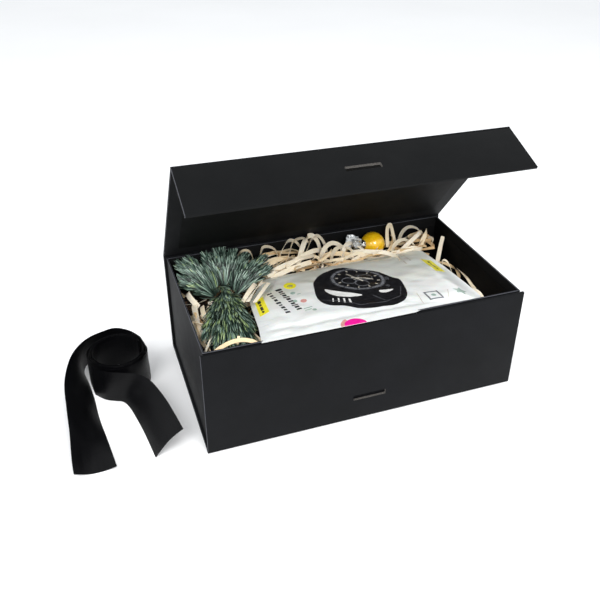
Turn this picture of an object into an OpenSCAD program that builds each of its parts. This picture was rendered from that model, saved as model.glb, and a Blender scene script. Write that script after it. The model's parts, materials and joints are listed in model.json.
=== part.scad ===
// Book-style rigid gift box with a magnetic flap and a loose satin ribbon.
// Millimetres, +Z up. The origin is the centre of the case's footprint on the table,
// with the front panel on -Y. The lid and the flap are drawn part open.

/* [Case] */
// Width of the case, left to right
case_w = 330; // [240:1:420]
// Depth of the case, from the front panel's face to the back panel's face
case_d = 185; // [150:1:240]
// Top edge of the front panel above the table
front_h = 115; // [85:1:150]
// Flap, from its fold to its free edge
flap_l = 57.5; // [50:0.5:80]
// Greyboard in the five case panels
board_t = 2.2; // [1.8:0.1:3]
// Black paper on the boards
paper_t = 0.25; // [0.15:0.05:0.4]
// Paper turned in over the edge of each case panel
turn_in = 15; // [8:1:18]

/* [Tray] */
// Rim of the tray above the table
tray_h = 116; // [86:1:151]
// Case panel beyond the tray, on the left and on the right
tray_side_gap = 3; // [1.5:0.5:6]
// Gap between the front panel and the tray, which the foam tapes fill
tray_front_gap = 1; // [0.6:0.1:2]
// Greyboard in the tray
tray_board_t = 1.8; // [1.2:0.1:2.5]
// Paper turned over the tray's rim and under its floor
tray_turn = 12; // [6:1:20]
// Width of each leg of a corner stay
stay_w = 20; // [10:1:30]
// Thickness of a corner stay
stay_t = 0.2; // [0.1:0.05:0.4]
// Width of a foam tape
tape_w = 55; // [30:1:60]
// Height of a foam tape
tape_h = 76; // [40:1:80]
// Middle of a foam tape from the box's middle
tape_x = 122; // [60:1:130]

/* [Hinges] */
// Closed lid's inner face above the tray's rim
lid_clear = 1.2; // [0.8:0.1:3]
// Closed flap's inner face in front of the front panel
flap_clear = 0.8; // [0.5:0.1:2]
// Running gap between a paper crease and the panel that turns on it
crease_gap = 0.3; // [0.2:0.05:0.6]
// Lid as drawn, in degrees open from closed
lid_open = 51.5; // [45:0.5:90]
// Flap as drawn, in degrees bent down from the lid's plane (90 is closed)
flap_bend = 72.5; // [60:0.5:90]

/* [Ribbon slots] */
// Length of a slot
slot_l = 35; // [20:1:60]
// Width of a slot
slot_w = 6; // [5.5:0.5:8]
// Corner radius of a slot
slot_r = 1; // [0.5:0.1:2]
// Middle of the front panel's slot above the table
front_slot_z = 28; // [20:1:40]
// Middle of the flap's slot from the flap's fold
flap_slot_d = 28.5; // [24:0.5:32]

/* [Magnets] */
// Diameter of a disc magnet in the flap
magnet_d = 15; // [10:1:20]
// Thickness of a disc magnet
magnet_t = 1.6; // [1:0.1:1.6]
// Diameter of a steel keeper in the front panel
keeper_d = 18; // [12:1:22]
// Thickness of a steel keeper
keeper_t = 1; // [0.5:0.1:1.5]
// Middle of a magnet from the box's middle
magnet_x = 110; // [60:1:115]
// Middle of a magnet from the flap's fold
magnet_d_fold = 40; // [30:1:42]
// Play around a magnet or a keeper in its pocket
pocket_gap = 0.1; // [0.05:0.05:0.3]

/* [Ribbon] */
// Width of the satin ribbon
ribbon_w = 38; // [25:1:38]
// Thickness of the ribbon
ribbon_t = 0.5; // [0.3:0.1:0.8]
// Outer radius of the roll
roll_r = 31; // [26:1:31]
// Distance between two turns of the same strand
roll_pitch = 4; // [3:0.5:4.5]
// Gap between the case's left side and the middle of the roll
roll_off = 63.5; // [58:0.5:90]

/* [Filling] */
// Gap between the filling and the tray's lining
fill_gap = 0.5; // [0.3:0.1:2]
// Top of the wood wool under the pouch, above the table
wool_h = 84; // [60:1:84]
// Depth of the lower step of wood wool along the right wall
wool_step = 42; // [30:1:60]
// Diameter of the bauble
bauble_d = 28; // [20:1:28]
// Wall of the bauble
bauble_wall = 0.8; // [0.5:0.1:2]

/* [Hidden] */
$fn = 48;
eps = 0.05;
panel_t = board_t + 2 * paper_t;
front_y = -case_d / 2;
back_y = case_d / 2;

// lid hinge and flap fold: the middle of the paper that joins two panels
crease_r = panel_t / 2;
hinge_y = back_y - crease_r;
hinge_z = tray_h + lid_clear + crease_r;
lid_reach = hinge_y - front_y + flap_clear + crease_r;
panel_start = crease_r + crease_gap;
lid_len = lid_reach - crease_r - eps - panel_start;
flap_len = flap_l - panel_start;
base_len = case_d - 2 * panel_t;
front_len = front_h - panel_t;
back_len = hinge_z - crease_r - eps - panel_t;

// tray: outer faces, then the faces of its boards and of its lining
tray_x = case_w / 2 - tray_side_gap;
tray_y0 = front_y + panel_t + tray_front_gap;
tray_y1 = back_y - panel_t;
tray_z0 = panel_t;
skin = paper_t + tray_board_t + paper_t;
floor_z = tray_z0 + skin;
in_x = tray_x - skin;
in_y0 = tray_y0 + skin;
in_y1 = tray_y1 - skin;
fill_x = in_x - fill_gap;
fill_y0 = in_y0 + fill_gap;
fill_y1 = in_y1 - fill_gap;
rim_z = tray_h;
fill_dz = rim_z - 116;

black = [0.14, 0.14, 0.15];
grey = [0.55, 0.53, 0.5];
straw = [0.87, 0.76, 0.56];
green = [0.23, 0.35, 0.27];

// ---------- shared shapes ----------

// a block given by its half width and its two ends in Y and in Z
module slab(hx, y0, y1, z0, z1) {
    translate([-hx, y0, z0]) cube([2 * hx, y1 - y0, z1 - z0]);
}

// A case panel lies along +Y from Y = 0, with its inner face at Z = 0.
module panel_board(len) {
    slab(case_w / 2 - paper_t, paper_t, len - paper_t, paper_t, paper_t + board_t);
}

module panel_window(len, z0, z1) {
    slab(case_w / 2 - turn_in, turn_in, len - turn_in, z0, z1);
}

module panel_wrap(len) {
    difference() {
        slab(case_w / 2, 0, len, 0, panel_t);
        panel_board(len);
        panel_window(len, -1, 2 * paper_t);
    }
}

// a slot right through a panel, with its middle at Y = y
module slot(y) {
    hl = slot_l / 2;
    hw = slot_w / 2;
    translate([0, y, -1]) linear_extrude(panel_t + 2) {
        square([slot_l - 2 * slot_r, slot_w], center = true);
        square([slot_l, slot_w - 2 * slot_r], center = true);
        for (sx = [-1, 1], sy = [-1, 1])
            translate([sx * (hl - slot_r), sy * (hw - slot_r)]) circle(slot_r);
    }
}

// round pockets sunk in a board from its inner face
module pockets(d, depth, y) {
    for (s = [-1, 1]) translate([s * magnet_x, y, paper_t - eps]) cylinder(d = d, h = depth + eps);
}

module discs(d, t, y) {
    for (s = [-1, 1]) translate([s * magnet_x, y, paper_t + pocket_gap / 2]) cylinder(d = d, h = t);
}

// a folded strip of paper along X
module crease() {
    rotate([0, 90, 0]) cylinder(r = crease_r, h = case_w, center = true);
}

// ---------- places of the panels ----------

module at_front() { translate([0, front_y + panel_t, panel_t]) rotate([90, 0, 0]) children(); }
module at_back() { translate([0, back_y - panel_t, panel_t]) rotate([90, 0, 180]) children(); }
module at_base() { translate([0, back_y - panel_t, panel_t]) rotate([180, 0, 0]) children(); }
module at_hinge() {
    translate([0, hinge_y, hinge_z]) rotate([-lid_open, 0, 0]) rotate([0, 0, 180]) children();
}
module at_lid() { at_hinge() translate([0, panel_start, -crease_r]) children(); }
module at_fold() { at_hinge() translate([0, lid_reach, 0]) rotate([-flap_bend, 0, 0]) children(); }
module at_flap() { at_fold() translate([0, panel_start, -crease_r]) children(); }

front_slot_y = front_slot_z - panel_t;
flap_slot_y = flap_slot_d - panel_start;
flap_magnet_y = magnet_d_fold - panel_start;
keeper_y = hinge_z - magnet_d_fold - panel_t;

// ---------- case: base, front and back ----------

module base_board() { color(grey) at_base() panel_board(base_len); }
module base_wrap() { color(black) at_base() panel_wrap(base_len); }

module front_board() {
    color(grey) at_front() difference() {
        panel_board(front_len);
        slot(front_slot_y);
        pockets(keeper_d + 2 * pocket_gap, keeper_t + pocket_gap, keeper_y);
    }
}

module front_wrap() {
    color(black) at_front() difference() {
        panel_wrap(front_len);
        slot(front_slot_y);
    }
}

module front_keepers() { color("silver") at_front() discs(keeper_d, keeper_t, keeper_y); }
module back_board() { color(grey) at_back() panel_board(back_len); }
module back_wrap() { color(black) at_back() panel_wrap(back_len); }

// the wrap where it turns up from the base round an open corner
module corner_fold() {
    rotate([90, 0, 90]) linear_extrude(case_w, center = true) intersection() {
        difference() {
            circle(panel_t);
            circle(panel_t - paper_t);
        }
        translate([-panel_t, -panel_t]) square(panel_t);
    }
}

module front_fold() { color(black) translate([0, front_y + panel_t, panel_t]) corner_fold(); }
module back_fold() {
    color(black) translate([0, back_y - panel_t, panel_t]) mirror([0, 1, 0]) corner_fold();
}

// foam tapes between the tray and the front panel, either side of the ribbon slot
module front_tapes() {
    z_mid = (tray_z0 + front_h) / 2;
    color([0.85, 0.85, 0.82]) for (s = [-1, 1])
        translate([s * tape_x - tape_w / 2, front_y + panel_t, z_mid - tape_h / 2])
            cube([tape_w, tray_front_gap, tape_h]);
}

// ---------- tray ----------

// the board shell's outer and inner faces
board_x = tray_x - paper_t;
board_y0 = tray_y0 + paper_t;
board_y1 = tray_y1 - paper_t;
board_z0 = tray_z0 + paper_t;
board_z1 = rim_z - paper_t;

module corner_stays() {
    for (sx = [-1, 1], back = [0, 1]) {
        y = back ? board_y1 : board_y0;
        inward = back ? -1 : 1;
        translate([sx * board_x, y, 0]) scale([-sx, inward, 1])
            translate([0, 0, board_z0]) difference() {
                cube([stay_w, stay_w, board_z1 - board_z0]);
                translate([stay_t, stay_t, -1]) cube([stay_w, stay_w, board_z1 - board_z0 + 2]);
            }
    }
}

module tray_part() {
    color(grey) difference() {
        children();
        corner_stays();
    }
}

module tray_front_wall() { tray_part() slab(board_x, board_y0, board_y0 + tray_board_t, board_z0, board_z1); }
module tray_back_wall() { tray_part() slab(board_x, board_y1 - tray_board_t, board_y1, board_z0, board_z1); }
module side_wall() {
    translate([board_x - tray_board_t, board_y0 + tray_board_t, board_z0])
        cube([tray_board_t, board_y1 - board_y0 - 2 * tray_board_t, board_z1 - board_z0]);
}
module tray_right_wall() { tray_part() side_wall(); }
module tray_left_wall() { tray_part() mirror([1, 0, 0]) side_wall(); }
module tray_floor() {
    color(grey) slab(board_x - tray_board_t, board_y0 + tray_board_t, board_y1 - tray_board_t,
        board_z0, board_z0 + tray_board_t);
}
module tray_corner_stays() { color([0.8, 0.78, 0.72]) corner_stays(); }

// outer paper: round the four sides, over the rim and under the floor
module tray_wrap() {
    color(black) difference() {
        slab(tray_x, tray_y0, tray_y1, tray_z0, rim_z);
        // the boards
        difference() {
            slab(board_x, board_y0, board_y1, board_z0, board_z1);
            difference() {
                slab(in_x + paper_t, in_y0 - paper_t, in_y1 + paper_t, rim_z - tray_turn, rim_z);
                slab(in_x, in_y0, in_y1, rim_z - tray_turn - 1, rim_z + 1);
            }
        }
        // the open inside and the open part of the underside
        slab(in_x, in_y0, in_y1, board_z0, rim_z + 1);
        slab(tray_x - tray_turn, tray_y0 + tray_turn, tray_y1 - tray_turn, tray_z0 - 1, board_z0 + 1);
    }
}

// inner paper: the floor and the walls up to the paper that is turned over the rim
module tray_lining() {
    color(black) difference() {
        slab(in_x + paper_t, in_y0 - paper_t, in_y1 + paper_t, floor_z - paper_t, rim_z - tray_turn);
        slab(in_x, in_y0, in_y1, floor_z, rim_z);
    }
}

// ---------- lid and flap ----------

module lid_crease() { color(black) translate([0, hinge_y, hinge_z]) crease(); }
module lid_board() { color(grey) at_lid() panel_board(lid_len); }
module lid_wrap() { color(black) at_lid() panel_wrap(lid_len); }
module lid_liner() { color(black) at_lid() panel_window(lid_len, 0, paper_t); }
module flap_crease() { color(black) at_hinge() translate([0, lid_reach, 0]) crease(); }

module flap_board() {
    color(grey) at_flap() difference() {
        panel_board(flap_len);
        slot(flap_slot_y);
        pockets(magnet_d + 2 * pocket_gap, magnet_t + pocket_gap, flap_magnet_y);
    }
}

module flap_wrap() {
    color(black) at_flap() difference() {
        panel_wrap(flap_len);
        slot(flap_slot_y);
    }
}

module flap_liner() {
    color(black) at_flap() difference() {
        panel_window(flap_len, 0, paper_t);
        slot(flap_slot_y);
    }
}

module flap_magnets() { color("silver") at_flap() discs(magnet_d, magnet_t, flap_magnet_y); }

// ---------- filling ----------

bauble_r = bauble_d / 2;
bauble_at = [71, fill_y1 - bauble_r - 1, rim_z - 13.5];
wool_low = wool_h - 22 + fill_dz;
wool_top = wool_h + fill_dz;
back_wool_y = fill_y1 - 27;

// a bed of wood wool, lower along the right wall and heaped behind the pouch
module wood_wool() {
    color(straw) difference() {
        union() {
            slab(fill_x, fill_y0, fill_y1, floor_z + fill_gap, wool_low);
            translate([-fill_x, fill_y0, floor_z + fill_gap])
                cube([2 * fill_x - wool_step, fill_y1 - fill_y0, wool_top - floor_z - fill_gap]);
            translate([-52, back_wool_y, wool_low - 1])
                cube([bauble_at[0] + 22, fill_y1 - back_wool_y, rim_z - wool_low - 7]);
            translate([97, back_wool_y, wool_low - 1])
                cube([fill_x - 110, fill_y1 - back_wool_y, rim_z - wool_low - 19]);
        }
        translate(bauble_at) sphere(r = bauble_r + 0.6);
        translate([bauble_at[0], bauble_at[1], bauble_at[2]]) cylinder(r = bauble_r + 0.6, h = 60);
    }
}

// a sprig's outer shape: a spindle along a line from one point to another
module spindle(from, to, r) {
    d = to - from;
    len = norm(d);
    turn = [0, acos(d[2] / len), atan2(d[1], d[0])];
    steps = 8;
    side = [for (i = [0 : steps]) [max(r * sin(180 * i / steps), i % steps == 0 ? 0 : 0.1), len * i / steps]];
    translate(from) rotate(turn) rotate_extrude() polygon(side);
}

module fir_sprig_left() { color(green) spindle([-124, 34, 96 + fill_dz], [-151, 80, 108 + fill_dz], 11); }
module fir_sprig_back() { color(green) spindle([-112, 42, 98 + fill_dz], [-104, 84, 110 + fill_dz], 12); }
module fir_sprig_right() { color(green) spindle([-100, 31, 97 + fill_dz], [-66, 74, 106 + fill_dz], 11); }
module fir_sprig_front() { color(green) spindle([-122, 24, 98 + fill_dz], [-131, -84, 104 + fill_dz], 13); }

// a sealed pouch lying in the filling, with one sealed edge over the tray's front rim
pouch_outline = [[-108, -84.9, 115.4], [45, -84.9, 115.4], [129, -80, 106], [128, 3, 100],
    [118, 42, 101], [-68, 42, 98], [-95, 2, 100], [-102, -41, 106]];
pouch_crown = [[-35, -40, 113], [45, -40, 111.5], [45, 5, 107], [-30, 5, 107],
    [-30, -35, 91], [60, -35, 91], [60, 10, 91], [-30, 10, 91]];
pouch_seam_r = 1.2;
pouch_drop = [0, in_y0 + 86.5, fill_dz];

module gift_pouch() {
    color([0.92, 0.92, 0.92]) translate(pouch_drop) {
        hull() for (p = concat(pouch_outline, pouch_crown)) translate(p) sphere(pouch_seam_r, $fn = 14);
        translate([-110, -92.2, 116.35]) cube([156, 8, 0.5]);
    }
}

module bauble_ball() {
    color("gold") translate(bauble_at) difference() {
        sphere(bauble_r);
        sphere(bauble_r - bauble_wall);
    }
}

// the cap sits on the ball's neck and points left
cap_turn = [0, -78, 12];
cap_r = 4.6;
cap_l = 5.5;
module bauble_cap() {
    color("silver") translate(bauble_at) rotate(cap_turn) difference() {
        translate([0, 0, bauble_r - 2]) cylinder(r = cap_r, h = cap_l);
        sphere(bauble_r);
    }
}

module bauble_loop() {
    loop_r = 5;
    wire_r = 0.8;
    color("silver") translate(bauble_at) rotate(cap_turn) translate([0, 0, bauble_r - 2 + cap_l + loop_r + wire_r])
        rotate([90, 0, 0]) rotate_extrude() translate([loop_r, 0]) circle(wire_r, $fn = 24);
}

// ---------- ribbon ----------
// One strip, folded double and rolled up standing on edge, with both ends drawn out.
// A station is a point on the strip's lower edge followed by one on its upper edge.

roll_c = [-case_w / 2 - roll_off, 46.5];
lie = ribbon_t / 2 + 0.05;
long_tail = [
    [-248, -82, 3, -281, -83, 6], [-252, -45, 1, -283, -47, 19], [-256.5, -8, lie, -284.5, -10, 25],
    [-258.5, 26, lie, -284, 24, 28], [-261.5, 53, lie, -277.5, 50, 34], [-264.5, 75, lie, -266.5, 70, 38],
    [-257.5, 90, lie, -254, 84, 37.5], [-243, 94.5, lie, -240, 90, 38], [-228, 90.5, lie, -225, 92, 38],
    [-214, 80, lie, -211, 82, 38], [-202.5, 66, lie, -201.5, 66.5, 38]];
short_tail = [
    [-212.5, -80, lie, -185, -77, 24], [-217, -46, lie, -190, -42, 26], [-221.5, -20, lie, -196, -17, 29],
    [-226, 0, lie, -203, 0, 31], [-231, 10.5, lie, -213, 8, 34], [-239, 15, lie, -227, 11.5, 37],
    [-248, 20.5, lie, -243.5, 17, 38], [-257, 32, lie, -256, 31.5, 38]];
tail_shift = [roll_c[0] + 228.5, 0];

// a smooth curve through the stations, with n steps between two of them
function blend4(a, b, c, d, t) = 0.5 * ((2 * b) + (c - a) * t + (2 * a - 5 * b + 4 * c - d) * t * t
    + (3 * b - a - 3 * c + d) * t * t * t);
function smooth(p, n) = let (m = len(p) - 1) concat([for (i = [0 : m - 1], k = [0 : n - 1])
    blend4(p[max(i - 1, 0)], p[i], p[i + 1], p[min(i + 2, m)], k / n)], [p[m]]);

// a standing station on the roll, turned clockwise by a degrees from the right
function on_roll(a, r) = let (x = roll_c[0] + r * cos(a), y = roll_c[1] - r * sin(a))
    [x, y, lie, x, y, 38];
strand = function (a, r0) r0 - roll_pitch * a / 360;
inner_turn = 700;
roll_outer = roll_r + roll_pitch * 0.575;
strand_in = [for (a = [0 : 20 : inner_turn]) on_roll(a, strand(a, roll_r))];
strand_out = [for (a = [inner_turn : -20 : 180]) on_roll(a, strand(a, roll_outer))];
fold_r = (strand(inner_turn, roll_r) + strand(inner_turn, roll_outer)) / 2;
fold = [for (k = [-1, 0, 1]) on_roll(inner_turn + 5 - 2 * abs(k), fold_r + 0.7 * k)];

function shifted(p) = [for (s = p) [s[0] + tail_shift[0], s[1], s[2], s[3] + tail_shift[0], s[4], s[5]]];
function reversed(p) = [for (i = [len(p) - 1 : -1 : 0]) p[i]];
stations = concat(smooth(shifted(long_tail), 4), strand_in, fold, strand_out,
    reversed(smooth(shifted(short_tail), 4)));

// the two edges of a station, with the strip's real width between them
function low_edge(s) = [s[0], s[1], s[2]];
function high_edge(s) = let (d = [s[3] - s[0], s[4] - s[1], s[5] - s[2]])
    low_edge(s) + d * ribbon_w / norm(d);
function middle(s) = (low_edge(s) + high_edge(s)) / 2;
function face(i) = let (n = len(stations) - 1,
    along = middle(stations[min(i + 1, n)]) - middle(stations[max(i - 1, 0)]),
    v = cross(along, high_edge(stations[i]) - low_edge(stations[i]))) v / norm(v);

module satin_ribbon() {
    n = len(stations);
    points = [for (i = [0 : n - 1]) let (o = face(i) * ribbon_t / 2, a = low_edge(stations[i]),
        b = high_edge(stations[i])) each [a + o, b + o, b - o, a - o]];
    // both faces of the strip are split along the same diagonal, so a twist can't make them cross
    ring = [[0, 1, 4], [1, 5, 4], [1, 2, 5], [2, 6, 5], [2, 3, 7], [2, 7, 6], [3, 0, 7], [0, 4, 7]];
    sides = [for (i = [0 : n - 2], f = ring) [for (k = f) 4 * i + k]];
    ends = [[3, 2, 1], [3, 1, 0], [4 * n - 4, 4 * n - 3, 4 * n - 2], [4 * n - 4, 4 * n - 2, 4 * n - 1]];
    color([0.05, 0.05, 0.06]) polyhedron(points, concat(sides, ends));
}

base_board();
front_board();
back_board();
base_wrap();
front_wrap();
back_wrap();
front_fold();
back_fold();
front_keepers();
front_tapes();
tray_front_wall();
tray_back_wall();
tray_left_wall();
tray_right_wall();
tray_floor();
tray_corner_stays();
tray_wrap();
tray_lining();
wood_wool();
fir_sprig_left();
fir_sprig_back();
fir_sprig_right();
fir_sprig_front();
lid_crease();
lid_board();
lid_wrap();
lid_liner();
flap_crease();
flap_board();
flap_wrap();
flap_liner();
flap_magnets();
gift_pouch();
bauble_ball();
bauble_cap();
bauble_loop();
satin_ribbon();
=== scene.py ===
import json
import math
import random

import bmesh
import bpy
from mathutils import Matrix, Vector, geometry, noise
from mathutils.bvhtree import BVHTree


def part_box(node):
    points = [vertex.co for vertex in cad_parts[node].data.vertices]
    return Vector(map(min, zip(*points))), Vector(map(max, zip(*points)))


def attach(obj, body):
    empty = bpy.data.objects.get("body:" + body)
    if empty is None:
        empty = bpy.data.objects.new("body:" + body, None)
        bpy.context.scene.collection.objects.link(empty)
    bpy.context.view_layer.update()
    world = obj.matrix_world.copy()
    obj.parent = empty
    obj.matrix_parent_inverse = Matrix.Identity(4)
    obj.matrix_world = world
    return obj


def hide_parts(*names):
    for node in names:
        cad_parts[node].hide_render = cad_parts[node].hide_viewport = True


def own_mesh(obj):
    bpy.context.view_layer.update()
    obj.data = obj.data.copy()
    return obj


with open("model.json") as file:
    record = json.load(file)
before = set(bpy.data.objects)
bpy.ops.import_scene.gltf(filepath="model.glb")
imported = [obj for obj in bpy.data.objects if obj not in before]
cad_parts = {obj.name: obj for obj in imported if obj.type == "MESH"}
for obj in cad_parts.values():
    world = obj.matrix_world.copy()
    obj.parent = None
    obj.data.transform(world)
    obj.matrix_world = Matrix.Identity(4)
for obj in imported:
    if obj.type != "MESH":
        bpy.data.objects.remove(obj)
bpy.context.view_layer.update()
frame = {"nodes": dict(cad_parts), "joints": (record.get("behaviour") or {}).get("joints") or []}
nodes = frame["nodes"]
joints = {j["name"]: j for j in frame["joints"]}
mm = 0.001
print("frame loaded")


def linear(code):
    # an sRGB hex colour as the linear values that shaders take
    parts = [int(code[i:i + 2], 16) / 255 for i in (1, 3, 5)]
    return tuple(c / 12.92 if c <= 0.04045 else ((c + 0.055) / 1.055) ** 2.4 for c in parts) + (1.0,)


def plug(tree, node, **inputs):
    # an input is a value, another node or one of its sockets; i3 is the input with number 3
    for key, value in inputs.items():
        byNumber = key[0] == "i" and key[1:].isdigit()
        socket = node.inputs[int(key[1:]) if byNumber else key.replace("_", " ")]
        if isinstance(value, bpy.types.Node):
            value = value.outputs[0]
        if isinstance(value, bpy.types.NodeSocket):
            tree.links.new(value, socket)
        else:
            socket.default_value = value


def addNode(tree, kind, settings=None, **inputs):
    # adds a shader node; stops are a colour ramp's places with their colours, hex or plain multipliers
    node = tree.nodes.new("ShaderNode" + kind)
    for key, value in (settings or {}).items():
        if key != "stops":
            setattr(node, key, value)
            continue
        elements = node.color_ramp.elements
        while len(elements) < len(value):
            elements.new(0.5)
        for element, (at, colour) in zip(elements, value):
            element.position = at
            element.color = linear(colour) if isinstance(colour, str) else colour + (1.0,)
    plug(tree, node, **inputs)
    return node


def startMaterial(name):
    material = bpy.data.materials.new(name)
    material.use_nodes = True
    tree = material.node_tree
    place = addNode(tree, "TexCoord").outputs["Object"]
    return material, tree, tree.nodes["Principled BSDF"], place


# a Mix node with these settings multiplies two colours
times = {"data_type": "RGBA", "blend_type": "MULTIPLY"}


def finishObject(name, bm, materials, body, sharp=35):
    # turns a bmesh into an object that rides on a body
    bmesh.ops.recalc_face_normals(bm, faces=bm.faces)
    mesh = bpy.data.meshes.new(name)
    bm.to_mesh(mesh)
    bm.free()
    obj = bpy.data.objects.new(name, mesh)
    bpy.context.scene.collection.objects.link(obj)
    for material in materials:
        mesh.materials.append(material)
    mesh.shade_smooth()
    mesh.set_sharp_from_angle(angle=math.radians(sharp))
    if body:
        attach(obj, body)
    return obj


def vertsOf(grown):
    return [g for g in grown if isinstance(g, bmesh.types.BMVert)]


def boxInto(bm, low, high, bevel=0.0, segments=3):
    # adds a box, with all its edges rounded, between two corners in metres
    made = bmesh.ops.create_cube(bm, size=1.0)["verts"]
    low, high = Vector(low), Vector(high)
    for v in made:
        v.co = Vector(low[i] if v.co[i] < 0 else high[i] for i in range(3))
    if bevel:
        edges = list({e for v in made for e in v.link_edges})
        bmesh.ops.bevel(bm, geom=edges, offset=bevel, affect="EDGES", segments=segments, profile=0.5,
                        material=-1)


def smoothLine(points, steps):
    # points of a smooth curve through the given ones
    pts = [Vector(p) for p in points]
    out = []
    last = len(pts) - 1
    for i in range(last):
        a, b, c, d = pts[max(i - 1, 0)], pts[i], pts[i + 1], pts[min(i + 2, last)]
        for k in range(steps):
            t = k / steps
            out.append(0.5 * ((2 * b) + (c - a) * t + (2 * a - 5 * b + 4 * c - d) * t * t
                              + (3 * b - a - 3 * c + d) * t ** 3))
    return out + [pts[-1]]


view = {"place": (-0.247, -0.603, 0.502), "turn": (-20.7, -30.7, -1.0), "lens": 43.8,
        "shift": (-0.035, -0.043)}


def makeCamera():
    data = bpy.data.cameras.new("camera")
    data.sensor_width = 36
    data.sensor_fit = "HORIZONTAL"
    data.lens = view["lens"]
    data.shift_x, data.shift_y = view["shift"]
    data.clip_start = 0.01
    camera = bpy.data.objects.new("camera", data)
    bpy.context.scene.collection.objects.link(camera)
    yaw, pitch, roll = (math.radians(a) for a in view["turn"])
    turn = Matrix.Rotation(yaw, 3, "Z") @ Matrix.Rotation(pitch, 3, "X") @ Matrix.Rotation(roll, 3, "Y")
    right, forward, up = turn.col[0], turn.col[1], turn.col[2]
    axes = Matrix((right, up, -forward)).transposed().to_4x4()
    camera.matrix_world = Matrix.Translation(view["place"]) @ axes
    bpy.context.scene.camera = camera


def areaLight(name, place, target, size, power):
    data = bpy.data.lights.new(name, "AREA")
    data.shape = "RECTANGLE"
    data.size, data.size_y = size
    data.energy = power
    light = bpy.data.objects.new(name, data)
    bpy.context.scene.collection.objects.link(light)
    light.location = place
    light.rotation_euler = (Vector(target) - Vector(place)).to_track_quat("-Z", "Y").to_euler()


# each softbox: its place, what it points at, its size and its power
studio = {"sky": "#f9fcff", "skyStrength": 0.9, "floorHalf": 6,
          "softboxes": {"softboxLeft": ((-1.0, -1.0, 1.4), (0, 0, 0.08), (0.9, 0.9), 21),
                        "softboxTop": ((0.3, -0.3, 1.7), (0, 0, 0.08), (1.4, 1.0), 6),
                        "softboxFront": ((0.1, -1.3, 1.1), (0.02, 0.03, 0.1), (0.5, 0.5), 14)}}


def makeStage():
    # matt pale paper sweep
    material, tree, shader, place = startMaterial("floor")
    cloud = addNode(tree, "TexNoise", Vector=place, Scale=1 / (333 * mm), Detail=3.0)
    tone = addNode(tree, "ValToRGB", {"stops": ((0.3, "#f7f7f7"), (0.7, "#fafafa"))}, i0=cloud)
    plug(tree, shader, Base_Color=tone, Roughness=0.9, Specular_IOR_Level=0.1)
    bm = bmesh.new()
    bmesh.ops.create_grid(bm, x_segments=2, y_segments=2, size=studio["floorHalf"])
    floor = finishObject("floor", bm, [material], None)
    world = bpy.data.worlds.new("world")
    world.use_nodes = True
    sky = world.node_tree.nodes["Background"]
    sky.inputs["Color"].default_value = linear(studio["sky"])
    sky.inputs["Strength"].default_value = studio["skyStrength"]
    bpy.context.scene.world = world
    bpy.context.scene.view_settings.view_transform = "Standard"
    bpy.context.scene.view_settings.look = "None"
    for name, softbox in studio["softboxes"].items():
        areaLight(name, *softbox)


makeCamera()
makeStage()
print("camera and stage made")


def paperMaterial(name, dark, light, roughness, sheen=0.01):
    # soft-touch laminated black paper: matt, with faint rub marks; its fibres are drawn 0.7 mm apart,
    # coarser than real ones, so that they show
    material, tree, shader, place = startMaterial(name)
    cloud = addNode(tree, "TexNoise", Vector=place, Scale=1 / (35.7 * mm), Detail=4.0)
    fibre = addNode(tree, "TexNoise", Vector=place, Scale=1 / (0.667 * mm), Detail=2.0)
    rubs = addNode(tree, "TexNoise", Vector=place, Scale=1 / (16.67 * mm), Detail=5.0)
    swell = addNode(tree, "TexNoise", Vector=place, Scale=1 / (22.2 * mm), Detail=3.0)
    tone = addNode(tree, "ValToRGB", {"stops": ((0.3, dark), (0.7, light))}, i0=cloud)
    speck = addNode(tree, "ValToRGB", {"stops": ((0.35, (0.9, 0.9, 0.9)), (0.7, (1.08, 1.08, 1.08)))},
                    i0=fibre)
    both = addNode(tree, "Mix", times, i0=1.0, i6=tone, i7=speck).outputs[2]
    rubbed = addNode(tree, "MapRange", Value=rubs, i3=roughness - 0.05, i4=roughness + 0.07)
    board = addNode(tree, "Bump", Height=swell, Strength=0.05, Distance=0.001)
    relief = addNode(tree, "Bump", Height=fibre, Strength=0.12, Distance=0.0002, Normal=board)
    plug(tree, shader, Base_Color=both, Roughness=rubbed, Specular_IOR_Level=0.1, Sheen_Weight=sheen,
         Sheen_Roughness=0.6, Normal=relief)
    return material


def boardMaterial():
    # greyboard: recycled grey fibre in layers, seen where a slot is punched through it
    material, tree, shader, place = startMaterial("greyboard")
    pressed = addNode(tree, "Mapping", Vector=place, Scale=(1.0, 3.0, 1.0))
    layers = addNode(tree, "TexNoise", Vector=pressed, Scale=1 / (1.11 * mm), Detail=4.0)
    stops = ((0.3, "#3a3836"), (0.55, "#565350"), (0.75, "#6d6a65"))
    tone = addNode(tree, "ValToRGB", {"stops": stops}, i0=layers)
    relief = addNode(tree, "Bump", Height=layers, Strength=0.35, Distance=0.0003)
    plug(tree, shader, Base_Color=tone, Roughness=0.92, Specular_IOR_Level=0.15, Normal=relief)
    return material


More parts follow.
